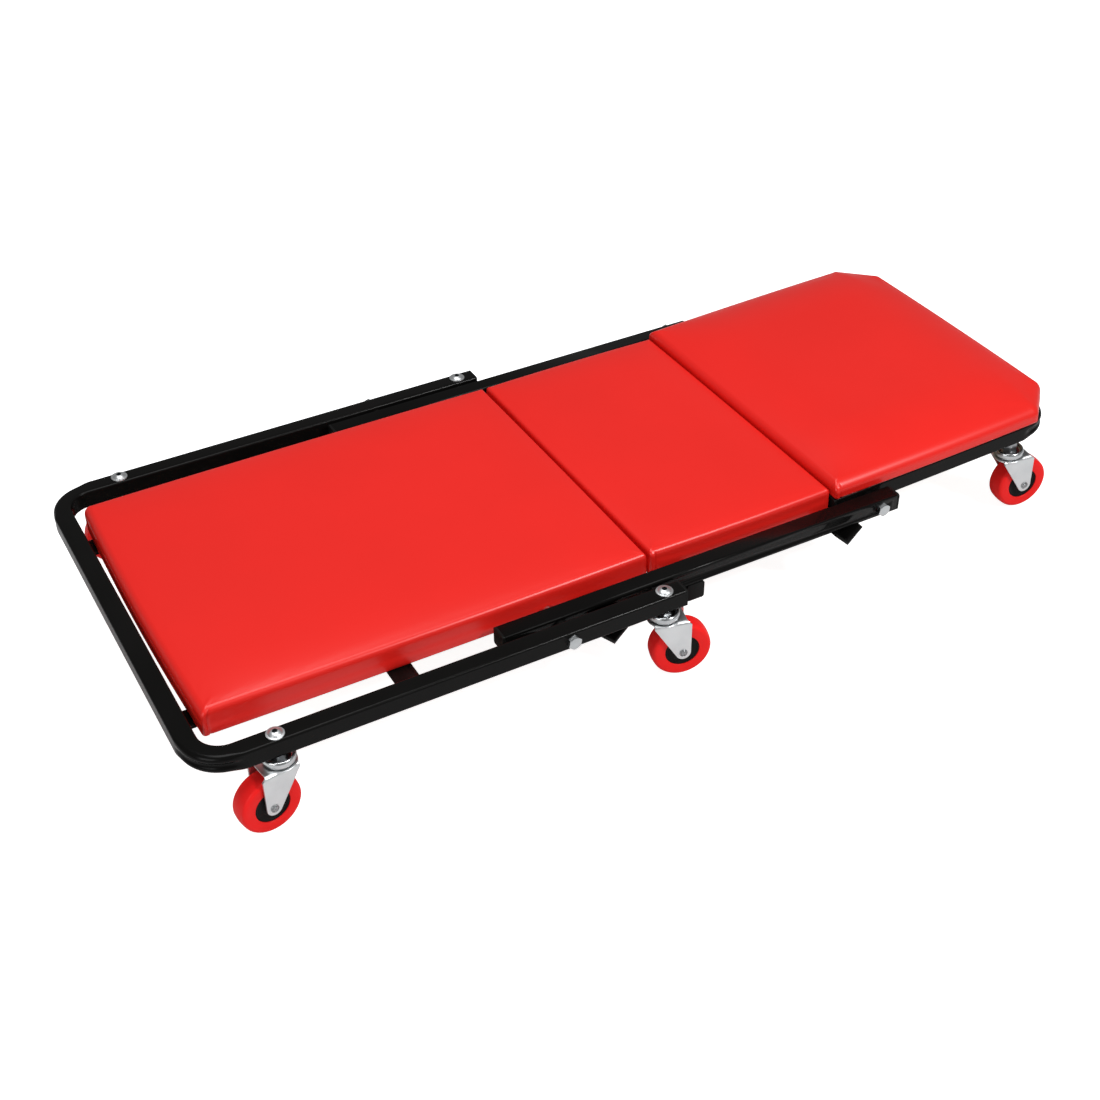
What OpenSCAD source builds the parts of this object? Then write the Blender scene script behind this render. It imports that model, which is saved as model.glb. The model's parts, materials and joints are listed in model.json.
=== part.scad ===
// Folding creeper stool: three padded frames hinged in a Z, on six swivel casters.
// It lies flat as a creeper, or folds up into a seat.
// Origin: on the floor, under the middle of the flat creeper. +X points to the head end.

/* [Tube and joints] */
// Side of the square steel tube
tube = 20; // [18:0.5:25]
// Wall of the tube
tube_wall = 1.5; // [1:0.1:2]
// Outside corner radius of the tube's section
tube_corner = 2.5; // [2:0.1:3]
// Radius of the bends, to the middle of the tube
bend_radius = 34; // [30:1:60]
// Gap between neighbouring frames, side by side
side_gap = 6; // [4:0.5:10]
// Height of the frames' top above the floor
frame_top = 103; // [100:1:115]

/* [Lengths] */
// Half width over the foot frame
foot_half_width = 240; // [220:1:260]
// Length of the foot frame, with its end plugs
foot_length = 511; // [500:1:530]
// First fold, from the foot end
fold_1_x = 381; // [370:1:385]
// Second fold, from the foot end
fold_2_x = 769.5; // [765:0.5:780]
// Stub of the middle rails past the first fold
mid_stub = 62; // [60:1:66]
// Stub of the middle rails past the second fold
mid_tail = 22.5; // [18:0.5:26]
// Stub of the head frame past the second fold
head_stub = 42.5; // [38:0.5:42.5]
// Length of the head frame past the second fold
head_reach = 267; // [255:1:280]
// Angle by which the head frame rises from the fold
head_tilt = 1.8; // [0:0.1:2.5]

/* [Cross members] */
// Leg of the stop angles
angle_leg = 25; // [22:0.5:26]
// Thickness of the angles and flat bars
bar_thick = 3; // [2:0.25:4]
// Width of the flat bars
bar_width = 25; // [20:1:30]
// First stop angle's point, before the ends of the foot frame's legs
stop_1_back = 80; // [76:0.5:82]
// How far the first stop angle ends short of the foot frame's sides
stop_1_short = 6; // [2:1:12]
// How far the second stop angle stands out past the middle rails
stop_2_over = 4; // [0:0.5:4.5]
// Middle of the foot frame's cross bar, from the foot end
cross_bar_x = 224; // [200:1:260]
// How far the cross bar ends short of the foot frame's sides
cross_bar_short = 14; // [8:1:18]
// Distance of the pad tabs from the pad's sides
tab_inset = 32.5; // [25:0.5:60]
// Length of a pad tab
tab_length = 46; // [40:1:60]
// Reach of a pad tab under the end tube
tab_hold = 14; // [10:1:16]
// Near face of the middle cross tube, from the foot end
cross_tube_x = 528; // [522:1:560]

/* [Foot and middle pads] */
// Gap between the foot and middle pads' corners and the middle rails
pad_gap = 11.5; // [8:0.5:25]
// Foot pad's end at the foot, from the foot end
foot_pad_start = 28.5; // [27:0.5:34]
// Foot pad's end at the fold
foot_pad_end = 498.5; // [490:0.5:499]
// Middle pad's end at the foot pad
mid_pad_start = 503; // [502.5:0.5:508]
// Middle pad's end at the head pad
mid_pad_end = 723.5; // [715:0.5:724]
// Height of a pad's side
pad_side = 31; // [28:0.5:36]
// Crown of a pad above its side
pad_crown = 4; // [1:0.5:8]
// How far the long sides stand out between the corners
pad_side_bow = 1.5; // [0:0.25:2]
// How far the foot end stands out between the corners
pad_end_bow = 4; // [0:0.25:5]
// How far the pads' other ends stand out between the corners
pad_meet_bow = 0.75; // [0:0.25:1]
// Thickness of the pad boards
board_thick = 9; // [6:0.5:12]
// Cover wrapped round the board's edge
cover_wrap = 3.5; // [2:0.25:5]

/* [Head pad] */
// How far the head pad's sides stand out over the head frame
head_pad_over = 1; // [0:0.5:4]
// Head pad's start, before the second fold
head_pad_start = 41; // [36:0.5:42]
// How far the head pad's end stands out over the head frame
head_pad_over_end = 4; // [0:0.5:8]
// Cut across each corner at the head end
head_pad_cut = 38; // [25:1:50]
// Height of the head pad's side
head_pad_side = 20; // [18:0.5:26]
// Crown of the head pad above its side
head_pad_crown = 13; // [6:0.5:18]

/* [Casters] */
// First foot caster, from the foot end
caster_1_x = 82; // [76:0.5:100]
// Second foot caster, before the plugged ends of the foot frame's legs
caster_2_back = 21.5; // [18:0.5:30]
// Head caster, before the head frame's end
caster_3_back = 59.5; // [50:0.5:75]
// Rest swivel of the first foot casters, near side
swivel_1 = 188.7; // [170:0.1:190]
// Rest swivel of the second foot casters, near side
swivel_2 = -14.1; // [-20:0.1:20]
// Rest swivel of the head casters, near side
swivel_3 = -6.3; // [-20:0.1:20]
// Diameter of the wheel
wheel_d = 63; // [60:0.5:64]
// Width of the wheel
wheel_w = 22.4; // [20:0.2:24]
// Diameter of the wheel's core
core_d = 36; // [28:0.5:42]
// Trail of the axle behind the stem
trail = 17.6; // [14:0.2:20]
// Outside width of the fork
fork_w = 29; // [28.5:0.2:32]
// Thickness of the fork's sheet
fork_sheet = 2.2; // [1.8:0.1:2.5]
// Diameter of the caster's upper cup
cup_d = 32.6; // [31:0.2:36]
// Diameter of the swivel balls
ball_d = 3.8; // [3:0.1:4]
// Swivel balls in one caster
ball_count = 12; // [8:1:15]

/* [Fasteners] */
// Diameter of the pivot and caster bolts
bolt_d = 8; // [6:0.5:8]
// Width across the flats of the pivot bolts' heads and nuts
bolt_hex = 13; // [12:0.5:14]
// Height of the pivot bolts' heads
bolt_head = 5.3; // [4:0.1:6]
// Height of the thin lock nuts
nut_h = 5; // [4:0.1:6]
// Diameter of the caster bolts' flanged heads
flange_d = 17.5; // [16:0.5:18]
// Diameter of the riveted axles
axle_d = 6; // [5:0.5:6]
// Diameter of the pad screws
screw_d = 5; // [4:0.5:5]

/* [Clearances] */
// Radial play of a turning shaft in its hole
run_play = 0.08; // [0.05:0.01:0.1]
// Radial play of a bolt in a plain hole
bolt_play = 0.2; // [0.15:0.05:0.4]
// Gap between faces that lie together
seat_gap = 0.1; // [0.05:0.05:0.2]
// Gap between faces that turn past each other
turn_gap = 0.3; // [0.2:0.05:0.5]

/* [Hidden] */
$fn = 48;

// Places that follow from the sizes above
tube_bottom = frame_top - tube;
fold_z = frame_top - tube / 2;
mid_half_width = foot_half_width - tube - side_gap;
head_half_width = mid_half_width - tube - side_gap;
stop_1_half = foot_half_width - stop_1_short;
stop_2_half = mid_half_width + stop_2_over;
cross_bar_half = foot_half_width - cross_bar_short;
pad_half_width = mid_half_width - tube - pad_gap;
tab_y = pad_half_width - tab_inset;
head_pad_half_width = head_half_width + head_pad_over;
head_pad_end = head_reach + head_pad_over_end;
caster_2_x = foot_length - caster_2_back;
caster_3_x = head_reach - caster_3_back;
plug_head = 2.5;
plug_depth = 12;
plug_play = 0.3;
wheel_r = wheel_d / 2;

// Heights of the caster's parts, down from the tube it hangs on
king_hex_h = 6.2;
cup_sheet = 1.6;
cup_rise = 2.6;
cup_skirt = 3.8;
plate_drop = king_hex_h + cup_sheet + ball_d + 2 * seat_gap;
caster_drop = tube_bottom - wheel_r;

// The head casters' longer king pins bring their wheels down to the floor
head_axle_x = caster_3_x + trail * cos(swivel_3);
head_caster_drop = (fold_z - wheel_r + head_axle_x * sin(head_tilt)) / cos(head_tilt) - tube / 2;
head_extra = head_caster_drop - caster_drop;

// The stop angles: point's depth below the rails, and the fold where the head frame meets the second
angle_rise = (angle_leg + bar_thick) * sin(45);
angle_span = (angle_leg - bar_thick) * sin(45);
stop_2_x = (tube / 2) * (1 + sqrt(2)) + angle_rise;
stop_2_trim = (stop_2_x - angle_span) * tan(head_tilt) + (tube / 2) * (1 / cos(head_tilt) - 1) + seat_gap;

// The pads' boards lie on the level of the tubes' underside, the head pad's on its frame
pad_corner = 3;
pad_bulge_z = 0.45;
overall_length = fold_2_x + (head_pad_end + pad_side_bow) * cos(head_tilt)
    - (tube / 2 + pad_bulge_z * head_pad_side) * sin(head_tilt);

black = [0.06, 0.06, 0.06];
red = [0.83, 0.1, 0.07];
zinc = [0.78, 0.8, 0.82];
plastic = [0.09, 0.09, 0.09];
ply = [0.72, 0.56, 0.38];

// Puts a piece drawn from the foot end into the part's own frame
module in_place() translate([-overall_length / 2, 0, 0]) children();

// The same for a piece of the head frame, which is tilted about the second fold
module on_head() in_place() translate([fold_2_x, 0, fold_z]) rotate([0, -head_tilt, 0]) children();

// Draws a piece on the near side and its mirror image on the far side
module both_sides() {
    children();
    mirror([0, 1, 0]) children();
}

// Square with round corners, side s and corner radius r
module round_square(s, r) {
    square([s - 2 * r, s], center = true);
    square([s, s - 2 * r], center = true);
    for (x = [-1, 1], y = [-1, 1]) translate([x, y] * (s / 2 - r)) circle(r);
}

module tube_section() difference() {
    round_square(tube, tube_corner);
    round_square(tube - 2 * tube_wall, tube_corner - tube_wall);
}

// Straight tube along +X, its middle line on the axis
module straight_tube(length) rotate([90, 0, 90]) linear_extrude(length) tube_section();

// Quarter bend about the origin, from +X round to +Y
module tube_bend() rotate_extrude(angle = 90, $fn = 96) translate([bend_radius, 0]) tube_section();

// Tube bent to a U: closed end at x = 0, open ends at x = length
module u_tube(length, half_width) {
    leg_y = half_width - tube / 2;
    bend_x = tube / 2 + bend_radius;
    both_sides() {
        translate([bend_x, -leg_y, 0]) straight_tube(length - bend_x);
        translate([bend_x, -leg_y + bend_radius, 0]) rotate([0, 0, 180]) tube_bend();
    }
    translate([tube / 2, -leg_y + bend_radius, 0]) rotate([0, 0, 90])
        straight_tube(2 * (leg_y - bend_radius));
}

// Plug in the open end of a tube that ends at x = 0
module end_plug() {
    rotate([90, 0, 90]) linear_extrude(plug_head) round_square(tube, tube_corner);
    inner = tube - 2 * tube_wall - 2 * plug_play;
    translate([-plug_depth, 0, 0]) rotate([90, 0, 90]) linear_extrude(plug_depth)
        round_square(inner, tube_corner - tube_wall);
}

// Steel angle along Y with its point down; the tips' tops lie on z = 0
module stop_angle(half_length) translate([0, half_length, -angle_rise]) rotate([90, -45, 0])
    linear_extrude(2 * half_length) {
        square([angle_leg, bar_thick]);
        square([bar_thick, angle_leg]);
    }

// Hexagon prism, width across the flats w, height h
module hex_prism(w, h) cylinder(d = w / cos(30), h = h, $fn = 6);

// Hole through a tube along Z or Y
module hole_z(x, y, d) translate([x, y, -tube]) cylinder(d = d, h = 2 * tube);
module hole_y(x, y, d) translate([x, y, 0]) rotate([90, 0, 0]) cylinder(d = d, h = 2 * tube, center = true);

/* Pads */

// Outline of a pad, anticlockwise: corners rounded by a curve, edges bowed outwards
function bezier(a, b, c, t) = (1 - t) * (1 - t) * a + 2 * t * (1 - t) * b + t * t * c;
function unit(v) = v / norm(v);
function outline(corners, bows, corner_steps, edge_steps) = [
    for (i = [0 : len(corners) - 1])
        let (n = len(corners), p = corners[i], q = corners[(i + 1) % n], o = corners[(i + n - 1) % n],
            into = unit(p - o), out = unit(q - p), edge = norm(q - p),
            side = [out[1], -out[0]], first = p + pad_corner * out, last = q - pad_corner * out)
        each concat(
            [for (k = [0 : corner_steps]) bezier(p - pad_corner * into, p, first, k / corner_steps)],
            [for (k = [1 : edge_steps - 1]) let (s = k / edge_steps)
                first + (last - first) * s + side * bows[i] * 4 * s * (1 - s)])
];

// Rings of a pad from its underside up: [height, inset]; the crown closes over the middle
function pad_rings(side, crown, shoulder, half_w) = concat(
    [[0, 2], [0.12 * side, 0.4], [pad_bulge_z * side, 0], [0.78 * side, 0.6],
     [0.93 * side, 2], [side, 4.8]],
    [for (k = [1 : 5]) let (q = k / 6) [side + crown * (1 - pow(1 - q, shoulder)), 4.8 + q * (half_w - 4.8)]]);

// Closed form of a pad: rings of the outline, drawn in by each ring's inset
module pad_form(corners, bows, side, crown, shoulder) {
    base = outline(corners, bows, 3, 8);
    xs = [for (p = base) p[0]];
    half_l = (max(xs) - min(xs)) / 2;
    mid_x = (max(xs) + min(xs)) / 2;
    half_w = max([for (p = base) p[1]]);
    rings = pad_rings(side, crown, shoulder, min(half_w, half_l));
    n = len(base);
    last = len(rings) - 1;
    points = concat(
        [for (r = rings, p = base)
            [mid_x + (p[0] - mid_x) * (1 - r[1] / half_l), p[1] * (1 - r[1] / half_w), r[0]]],
        [[mid_x, 0, 0], [mid_x, 0, side + crown]]);
    faces = concat(
        [for (i = [0 : n - 1]) [i, (i + 1) % n, len(points) - 2]],
        [for (r = [0 : last - 1], i = [0 : n - 1], t = [0, 1])
            let (a = r * n + i, b = r * n + (i + 1) % n, c = a + n, d = b + n) t == 0 ? [a, c, d] : [a, d, b]],
        [for (i = [0 : n - 1]) [last * n + (i + 1) % n, last * n + i, len(points) - 1]]);
    polyhedron(points, faces);
}

// The board under a cover: the pad's corners drawn in by the wrap
function board_outline(corners, middle) = [
    for (p = corners) [p[0] + (p[0] < middle ? 1 : -1) * cover_wrap, p[1] + (p[1] < 0 ? 1 : -1) * cover_wrap]];

module board(corners) {
    middle = (min([for (p = corners) p[0]]) + max([for (p = corners) p[0]])) / 2;
    linear_extrude(board_thick) polygon(board_outline(corners, middle));
}

// Corner points of the three pads, from the foot end, or from the second fold for the head pad
foot_pad_corners = [[foot_pad_start, -pad_half_width], [foot_pad_end, -pad_half_width],
    [foot_pad_end, pad_half_width], [foot_pad_start, pad_half_width]];
mid_pad_corners = [[mid_pad_start, -pad_half_width], [mid_pad_end, -pad_half_width],
    [mid_pad_end, pad_half_width], [mid_pad_start, pad_half_width]];
head_pad_corners = [[-head_pad_start, -head_pad_half_width],
    [head_pad_end - head_pad_cut, -head_pad_half_width],
    [head_pad_end, -head_pad_half_width + head_pad_cut], [head_pad_end, head_pad_half_width - head_pad_cut],
    [head_pad_end - head_pad_cut, head_pad_half_width], [-head_pad_start, head_pad_half_width]];

// Pad screw from below: head under the seat at z = 0, shank up by reach
screw_bite = 6;
screw_head_h = 2.6;
module pad_screw(reach) {
    translate([0, 0, -seat_gap]) mirror([0, 0, 1]) cylinder(d1 = 2 * screw_d, d2 = 1.2 * screw_d, h = screw_head_h);
    translate([0, 0, -seat_gap]) cylinder(d = screw_d, h = reach + screw_bite);
}
module screw_hole(h) cylinder(d = screw_d + 2 * bolt_play, h = h);

// Places of the pad screws, from the foot end, or from the second fold for the head pad
tab_x = tab_hold + bar_width;
foot_screws = [[tab_x, tab_y], [cross_bar_x, tab_y]];
mid_screw = [cross_tube_x + tube / 2, tab_y];
head_screws_back = [207, 97];
head_screws = [for (back = head_screws_back) head_reach - back];

/* Foot frame */

module foot_rail() color(black) in_place() translate([0, 0, fold_z]) difference() {
    u_tube(foot_length - plug_head, foot_half_width);
    both_sides() {
        for (x = [caster_1_x, caster_2_x]) hole_z(x, -foot_half_width + tube / 2, bolt_d + 2 * bolt_play);
        hole_y(fold_1_x, -foot_half_width + tube / 2, bolt_d + 2 * bolt_play);
    }
}

module foot_end_plugs() color(plastic) in_place() both_sides()
    translate([foot_length - plug_head, -foot_half_width + tube / 2, fold_z]) end_plug();

module flat_bar(length_x, length_y) translate([0, -length_y / 2, -bar_thick]) cube([length_x, length_y, bar_thick]);

module foot_cross_bar() color(black) in_place() difference() {
    translate([cross_bar_x - bar_width / 2, 0, tube_bottom]) flat_bar(bar_width, 2 * cross_bar_half);
    both_sides() translate([cross_bar_x, tab_y, tube_bottom - 2 * bar_thick]) screw_hole(3 * bar_thick);
}

module foot_pad_tabs() color(black) in_place() both_sides() difference() {
    translate([tube - tab_hold, tab_y, tube_bottom]) flat_bar(tab_length, bar_width);
    translate([tab_x, tab_y, tube_bottom - 2 * bar_thick]) screw_hole(3 * bar_thick);
}

module foot_stop_angle() color(black) in_place()
    translate([foot_length - stop_1_back, 0, tube_bottom - seat_gap]) stop_angle(stop_1_half);

module foot_pad_board() color(ply) in_place() translate([0, 0, tube_bottom]) difference() {
    board(foot_pad_corners);
    both_sides() for (s = foot_screws) translate([s[0], s[1], 0]) screw_hole(screw_bite + seat_gap);
}

module foot_pad_cushion() color(red) in_place() translate([0, 0, tube_bottom]) difference() {
    pad_form(foot_pad_corners, [pad_side_bow, pad_meet_bow, pad_side_bow, pad_end_bow], pad_side, pad_crown, 3);
    translate([0, 0, -board_thick]) board(foot_pad_corners);
    board(foot_pad_corners);
}

module foot_pad_screws() color(zinc) in_place() both_sides() for (s = foot_screws)
    translate([s[0], s[1], tube_bottom - bar_thick]) pad_screw(bar_thick);

/* Folds: bolt from the outer rail through a spacer and the inner rail, with a thin lock nut */

nut_gap = turn_gap;
module fold_bolt(outer) translate([0, -outer, 0]) rotate([-90, 0, 0]) {
    mirror([0, 0, 1]) hex_prism(bolt_hex, bolt_head);
    cylinder(d = bolt_d, h = 2 * tube + side_gap + nut_gap + nut_h + 0.5);
}
module fold_spacer(outer) translate([0, -outer + tube + turn_gap, 0]) rotate([-90, 0, 0]) difference() {
    cylinder(d = bolt_d + 6, h = side_gap - 2 * turn_gap);
    translate([0, 0, -side_gap]) cylinder(d = bolt_d + 2 * bolt_play, h = 3 * side_gap);
}
module fold_nut(outer) translate([0, -outer + 2 * tube + side_gap + nut_gap, 0]) rotate([-90, 0, 0]) difference() {
    hex_prism(bolt_hex, nut_h);
    translate([0, 0, -nut_h]) cylinder(d = bolt_d + 2 * run_play, h = 3 * nut_h);
}
module at_fold(x) in_place() both_sides() translate([x, 0, fold_z]) children();

module fold_1_bolts() color(zinc) at_fold(fold_1_x) fold_bolt(foot_half_width);
module fold_1_spacers() color(zinc) at_fold(fold_1_x) fold_spacer(foot_half_width);
module fold_1_nuts() color(zinc) at_fold(fold_1_x) fold_nut(foot_half_width);
module fold_2_bolts() color(zinc) at_fold(fold_2_x) fold_bolt(mid_half_width);
module fold_2_spacers() color(zinc) at_fold(fold_2_x) fold_spacer(mid_half_width);
module fold_2_nuts() color(zinc) at_fold(fold_2_x) fold_nut(mid_half_width);

/* Middle frame */

mid_start = fold_1_x - mid_stub;
mid_end = fold_2_x + mid_tail;
module mid_rail() in_place() translate([0, 0, fold_z]) difference() {
    translate([mid_start + plug_head, -mid_half_width + tube / 2, 0])
        straight_tube(mid_end - mid_start - 2 * plug_head);
    hole_y(fold_1_x, -mid_half_width + tube / 2, bolt_d + 2 * run_play);
    hole_y(fold_2_x, -mid_half_width + tube / 2, bolt_d + 2 * bolt_play);
}
module mid_rail_near() color(black) mid_rail();
module mid_rail_far() color(black) mirror([0, 1, 0]) mid_rail();

module mid_end_plugs() color(plastic) in_place() both_sides() {
    translate([0, -mid_half_width + tube / 2, fold_z]) {
        translate([mid_end - plug_head, 0, 0]) end_plug();
        translate([mid_start + plug_head, 0, 0]) mirror([1, 0, 0]) end_plug();
    }
    translate([cross_tube_x + tube / 2, -mid_half_width + plug_head, tube_bottom - tube / 2])
        rotate([0, 0, -90]) end_plug();
}

module mid_cross_tube() color(black) in_place() difference() {
    translate([cross_tube_x + tube / 2, -mid_half_width + plug_head, tube_bottom - tube / 2]) rotate([0, 0, 90])
        straight_tube(2 * (mid_half_width - plug_head));
    both_sides() translate([mid_screw[0], mid_screw[1], tube_bottom - 2 * tube]) screw_hole(3 * tube);
}

module mid_stop_angle() color(black) in_place() translate([fold_2_x - stop_2_x, 0, tube_bottom - seat_gap])
    difference() {
        stop_angle(stop_2_half);
        translate([0, -stop_2_half - 1, -stop_2_trim]) cube([tube, 2 * stop_2_half + 2, tube]);
    }

module mid_pad_board() color(ply) in_place() translate([0, 0, tube_bottom]) difference() {
    board(mid_pad_corners);
    both_sides() translate([mid_screw[0], mid_screw[1], 0]) screw_hole(screw_bite + seat_gap);
}

module mid_pad_cushion() color(red) in_place() translate([0, 0, tube_bottom]) difference() {
    pad_form(mid_pad_corners, [pad_side_bow, pad_meet_bow, pad_side_bow, pad_meet_bow], pad_side, pad_crown, 3);
    translate([0, 0, -board_thick]) board(mid_pad_corners);
    board(mid_pad_corners);
}

module mid_pad_screws() color(zinc) in_place() both_sides()
    translate([mid_screw[0], mid_screw[1], tube_bottom - tube]) pad_screw(tube);

/* Head frame, drawn from the second fold */

module head_rail() color(black) on_head() difference() {
    translate([head_reach, 0, 0]) mirror([1, 0, 0]) u_tube(head_reach + head_stub - plug_head, head_half_width);
    both_sides() {
        hole_y(0, -head_half_width + tube / 2, bolt_d + 2 * run_play);
        hole_z(caster_3_x, -head_half_width + tube / 2, bolt_d + 2 * bolt_play);
        for (x = head_screws) hole_z(x, -head_half_width + tube / 2, screw_d + 2 * bolt_play);
    }
}

module head_end_plugs() color(plastic) on_head() both_sides()
    translate([-head_stub + plug_head, -head_half_width + tube / 2, 0]) mirror([1, 0, 0]) end_plug();

// Board and cushion have pockets for the heads of the caster bolts
module bolt_pocket() translate([caster_3_x, -head_half_width + tube / 2, -pocket_play])
    cylinder(d = flange_d + 2 * pocket_play, h = head_h + 2 * pocket_play);
module head_pad_board() color(ply) on_head() translate([0, 0, tube / 2]) difference() {
    board(head_pad_corners);
    both_sides() {
        for (x = head_screws) translate([x, -head_half_width + tube / 2, 0]) screw_hole(screw_bite + seat_gap);
        bolt_pocket();
    }
}

module head_pad_cushion() color(red) on_head() translate([0, 0, tube / 2]) difference() {
    pad_form(head_pad_corners, [pad_side_bow, 0, pad_side_bow, 0, pad_side_bow, 0],
        head_pad_side, head_pad_crown, 5);
    translate([0, 0, -board_thick]) board(head_pad_corners);
    board(head_pad_corners);
    both_sides() bolt_pocket();
}

module head_pad_screws() color(zinc) on_head() both_sides() for (x = head_screws)
    translate([x, -head_half_width + tube / 2, -tube / 2]) pad_screw(tube);

/* Casters, drawn from the underside of their tube */

socket_hex = 5;
socket_depth = 2.6;
head_h = 4.4;
flange_h = 1.3;
dome_r = 10;
pocket_play = 0.8;

// Flanged button head bolt, its head on the tube's top
module caster_bolt() {
    translate([0, 0, tube]) difference() {
        union() {
            cylinder(d = flange_d, h = flange_h);
            rotate_extrude() intersection() {
                translate([0, head_h - dome_r]) circle(dome_r, $fn = 96);
                translate([0, flange_h]) square([0.38 * flange_d, head_h - flange_h]);
            }
        }
        translate([0, 0, head_h - socket_depth]) hex_prism(socket_hex, socket_depth + 1);
    }
    translate([0, 0, -king_hex_h - 1]) cylinder(d = bolt_d, h = tube + king_hex_h + 1 + flange_h / 2);
}

// Threaded king pin: hexagon against the tube, shank through the cup and the fork, riveted below
king_d = 12;
king_hex = 14;
rivet_d = 17;
rivet_h = 1.8;
module king_pin(extra) difference() {
    union() {
        translate([0, 0, -king_hex_h - extra]) hex_prism(king_hex, king_hex_h + extra);
        translate([0, 0, -plate_drop - fork_sheet - turn_gap - rivet_h - extra])
            cylinder(d = king_d, h = plate_drop - king_hex_h + fork_sheet + turn_gap + rivet_h);
        translate([0, 0, -plate_drop - fork_sheet - turn_gap - rivet_h - extra]) cylinder(d = rivet_d, h = rivet_h);
    }
    translate([0, 0, -king_hex_h - 3]) cylinder(d = bolt_d + 2 * run_play, h = king_hex_h + 4);
}

// Pressed cup over the swivel balls, open above
module upper_cup() rotate_extrude() {
    r = cup_d / 2;
    floor_z = -king_hex_h - cup_sheet;
    translate([king_d / 2 + run_play, floor_z]) square([r - king_d / 2 - run_play - 0.5, cup_sheet]);
    translate([r - cup_sheet, floor_z - cup_skirt + 0.8]) square([cup_sheet, cup_skirt + cup_sheet + cup_rise - 1.6]);
    translate([r - cup_sheet / 2, floor_z - cup_skirt + 0.8]) circle(cup_sheet / 2);
    translate([r - cup_sheet / 2, floor_z + cup_sheet + cup_rise - 0.8]) circle(cup_sheet / 2);
}

ball_ring_r = 11;
module ball_ring() for (a = [0 : 360 / ball_count : 359])
    rotate([0, 0, a]) translate([ball_ring_r, 0, -king_hex_h - cup_sheet - seat_gap - ball_d / 2]) sphere(d = ball_d, $fn = 32);

// Outline of a fork's leg, seen from the side: x along the trail, y up
leg_round = 7.8;
leg_front = 13;
leg_square = 4;
module leg_outline(drop) {
    tip = [trail, -drop];
    start = [-leg_front, -plate_drop - leg_square];
    run = tip - start;
    touch = atan2(run[1], run[0]) + 180 + acos(leg_round / norm(run));
    translate(tip) circle(leg_round);
    polygon([[-leg_front, -plate_drop], start, tip + leg_round * [cos(touch), sin(touch)], tip,
        tip + [leg_round, 0], [trail + leg_round, -plate_drop - leg_square],
        [trail + leg_round - leg_square, -plate_drop]]);
}

// Pressed fork: round race on top, flat hood and two legs, with a hole for the king pin and the axle
module fork(drop) difference() {
    union() {
        translate([0, 0, -plate_drop - fork_sheet]) cylinder(d = cup_d + 1.4, h = fork_sheet);
        translate([-leg_front, -fork_w / 2 + 1, -plate_drop - fork_sheet])
            cube([leg_front + trail + leg_round - leg_square, fork_w - 2, fork_sheet]);
        for (s = [-1, 1]) translate([0, s * (fork_w - fork_sheet) / 2 + fork_sheet / 2, 0]) rotate([90, 0, 0])
            linear_extrude(fork_sheet) leg_outline(drop);
    }
    translate([0, 0, -plate_drop - 2 * fork_sheet]) cylinder(d = king_d + 2 * run_play, h = 3 * fork_sheet);
    translate([trail, 0, -drop]) rotate([90, 0, 0]) cylinder(d = axle_d + 2 * run_play, h = 2 * fork_w, center = true);
}

// Axle, riveted over at both ends
axle_rivet_d = 8.4;
axle_rivet_h = 1.3;
module axle(drop) translate([trail, 0, -drop]) rotate([90, 0, 0]) {
    cylinder(d = axle_d, h = fork_w + 2 * seat_gap + axle_rivet_h, center = true);
    for (s = [-1, 1]) translate([0, 0, s * (fork_w / 2 + seat_gap + axle_rivet_h / 2)])
        cylinder(d = axle_rivet_d, h = axle_rivet_h, center = true);
}

// Moulded wheel core: a disc a little inside the tyre's faces, and a hub that reaches the fork
hub_r = 8;
rim_r = core_d / 2;
core_inset = 1.2;
module wheel_core(drop) translate([trail, 0, -drop]) rotate([90, 0, 0]) rotate_extrude($fn = 72) {
    hub_half = fork_w / 2 - fork_sheet - turn_gap;
    bore = axle_d / 2 + run_play;
    translate([bore, -hub_half]) square([hub_r - bore, 2 * hub_half]);
    translate([bore, -wheel_w / 2 + core_inset]) square([rim_r - bore, wheel_w - 2 * core_inset]);
}

// Tyre: crowned tread with round shoulders, on the core's rim
shoulder = 5.5;
crown_r = 40;
crown_drop = 0.6;
module tyre(drop) translate([trail, 0, -drop]) rotate([90, 0, 0]) rotate_extrude($fn = 96) {
    half = wheel_w / 2;
    side_r = wheel_r - crown_drop;
    difference() {
        union() {
            translate([rim_r, -half]) square([side_r - shoulder - rim_r, wheel_w]);
            translate([rim_r, -half + shoulder]) square([side_r - rim_r, wheel_w - 2 * shoulder]);
            for (s = [-1, 1]) translate([side_r - shoulder, s * (half - shoulder)]) circle(shoulder);
            intersection() {
                translate([wheel_r - crown_r, 0]) circle(crown_r, $fn = 360);
                translate([rim_r, -half + shoulder]) square([wheel_r, wheel_w - 2 * shoulder]);
            }
        }
        translate([0, -wheel_w]) square([rim_r, 2 * wheel_w]);
    }
}

// Places of the casters: on the foot frame's legs, and on the head frame's
module at_foot_caster(x, swivel) in_place() translate([x, -foot_half_width + tube / 2, tube_bottom])
    rotate([0, 0, swivel]) children();
module at_head_caster(swivel) on_head() translate([caster_3_x, -head_half_width + tube / 2, -tube / 2])
    rotate([0, 0, swivel]) children();
module each_foot_caster() both_sides() for (x = [caster_1_x, caster_2_x]) at_foot_caster(x, 0) children();
module each_head_caster() both_sides() at_head_caster(0) children();
module far_side() mirror([0, 1, 0]) children();

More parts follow.
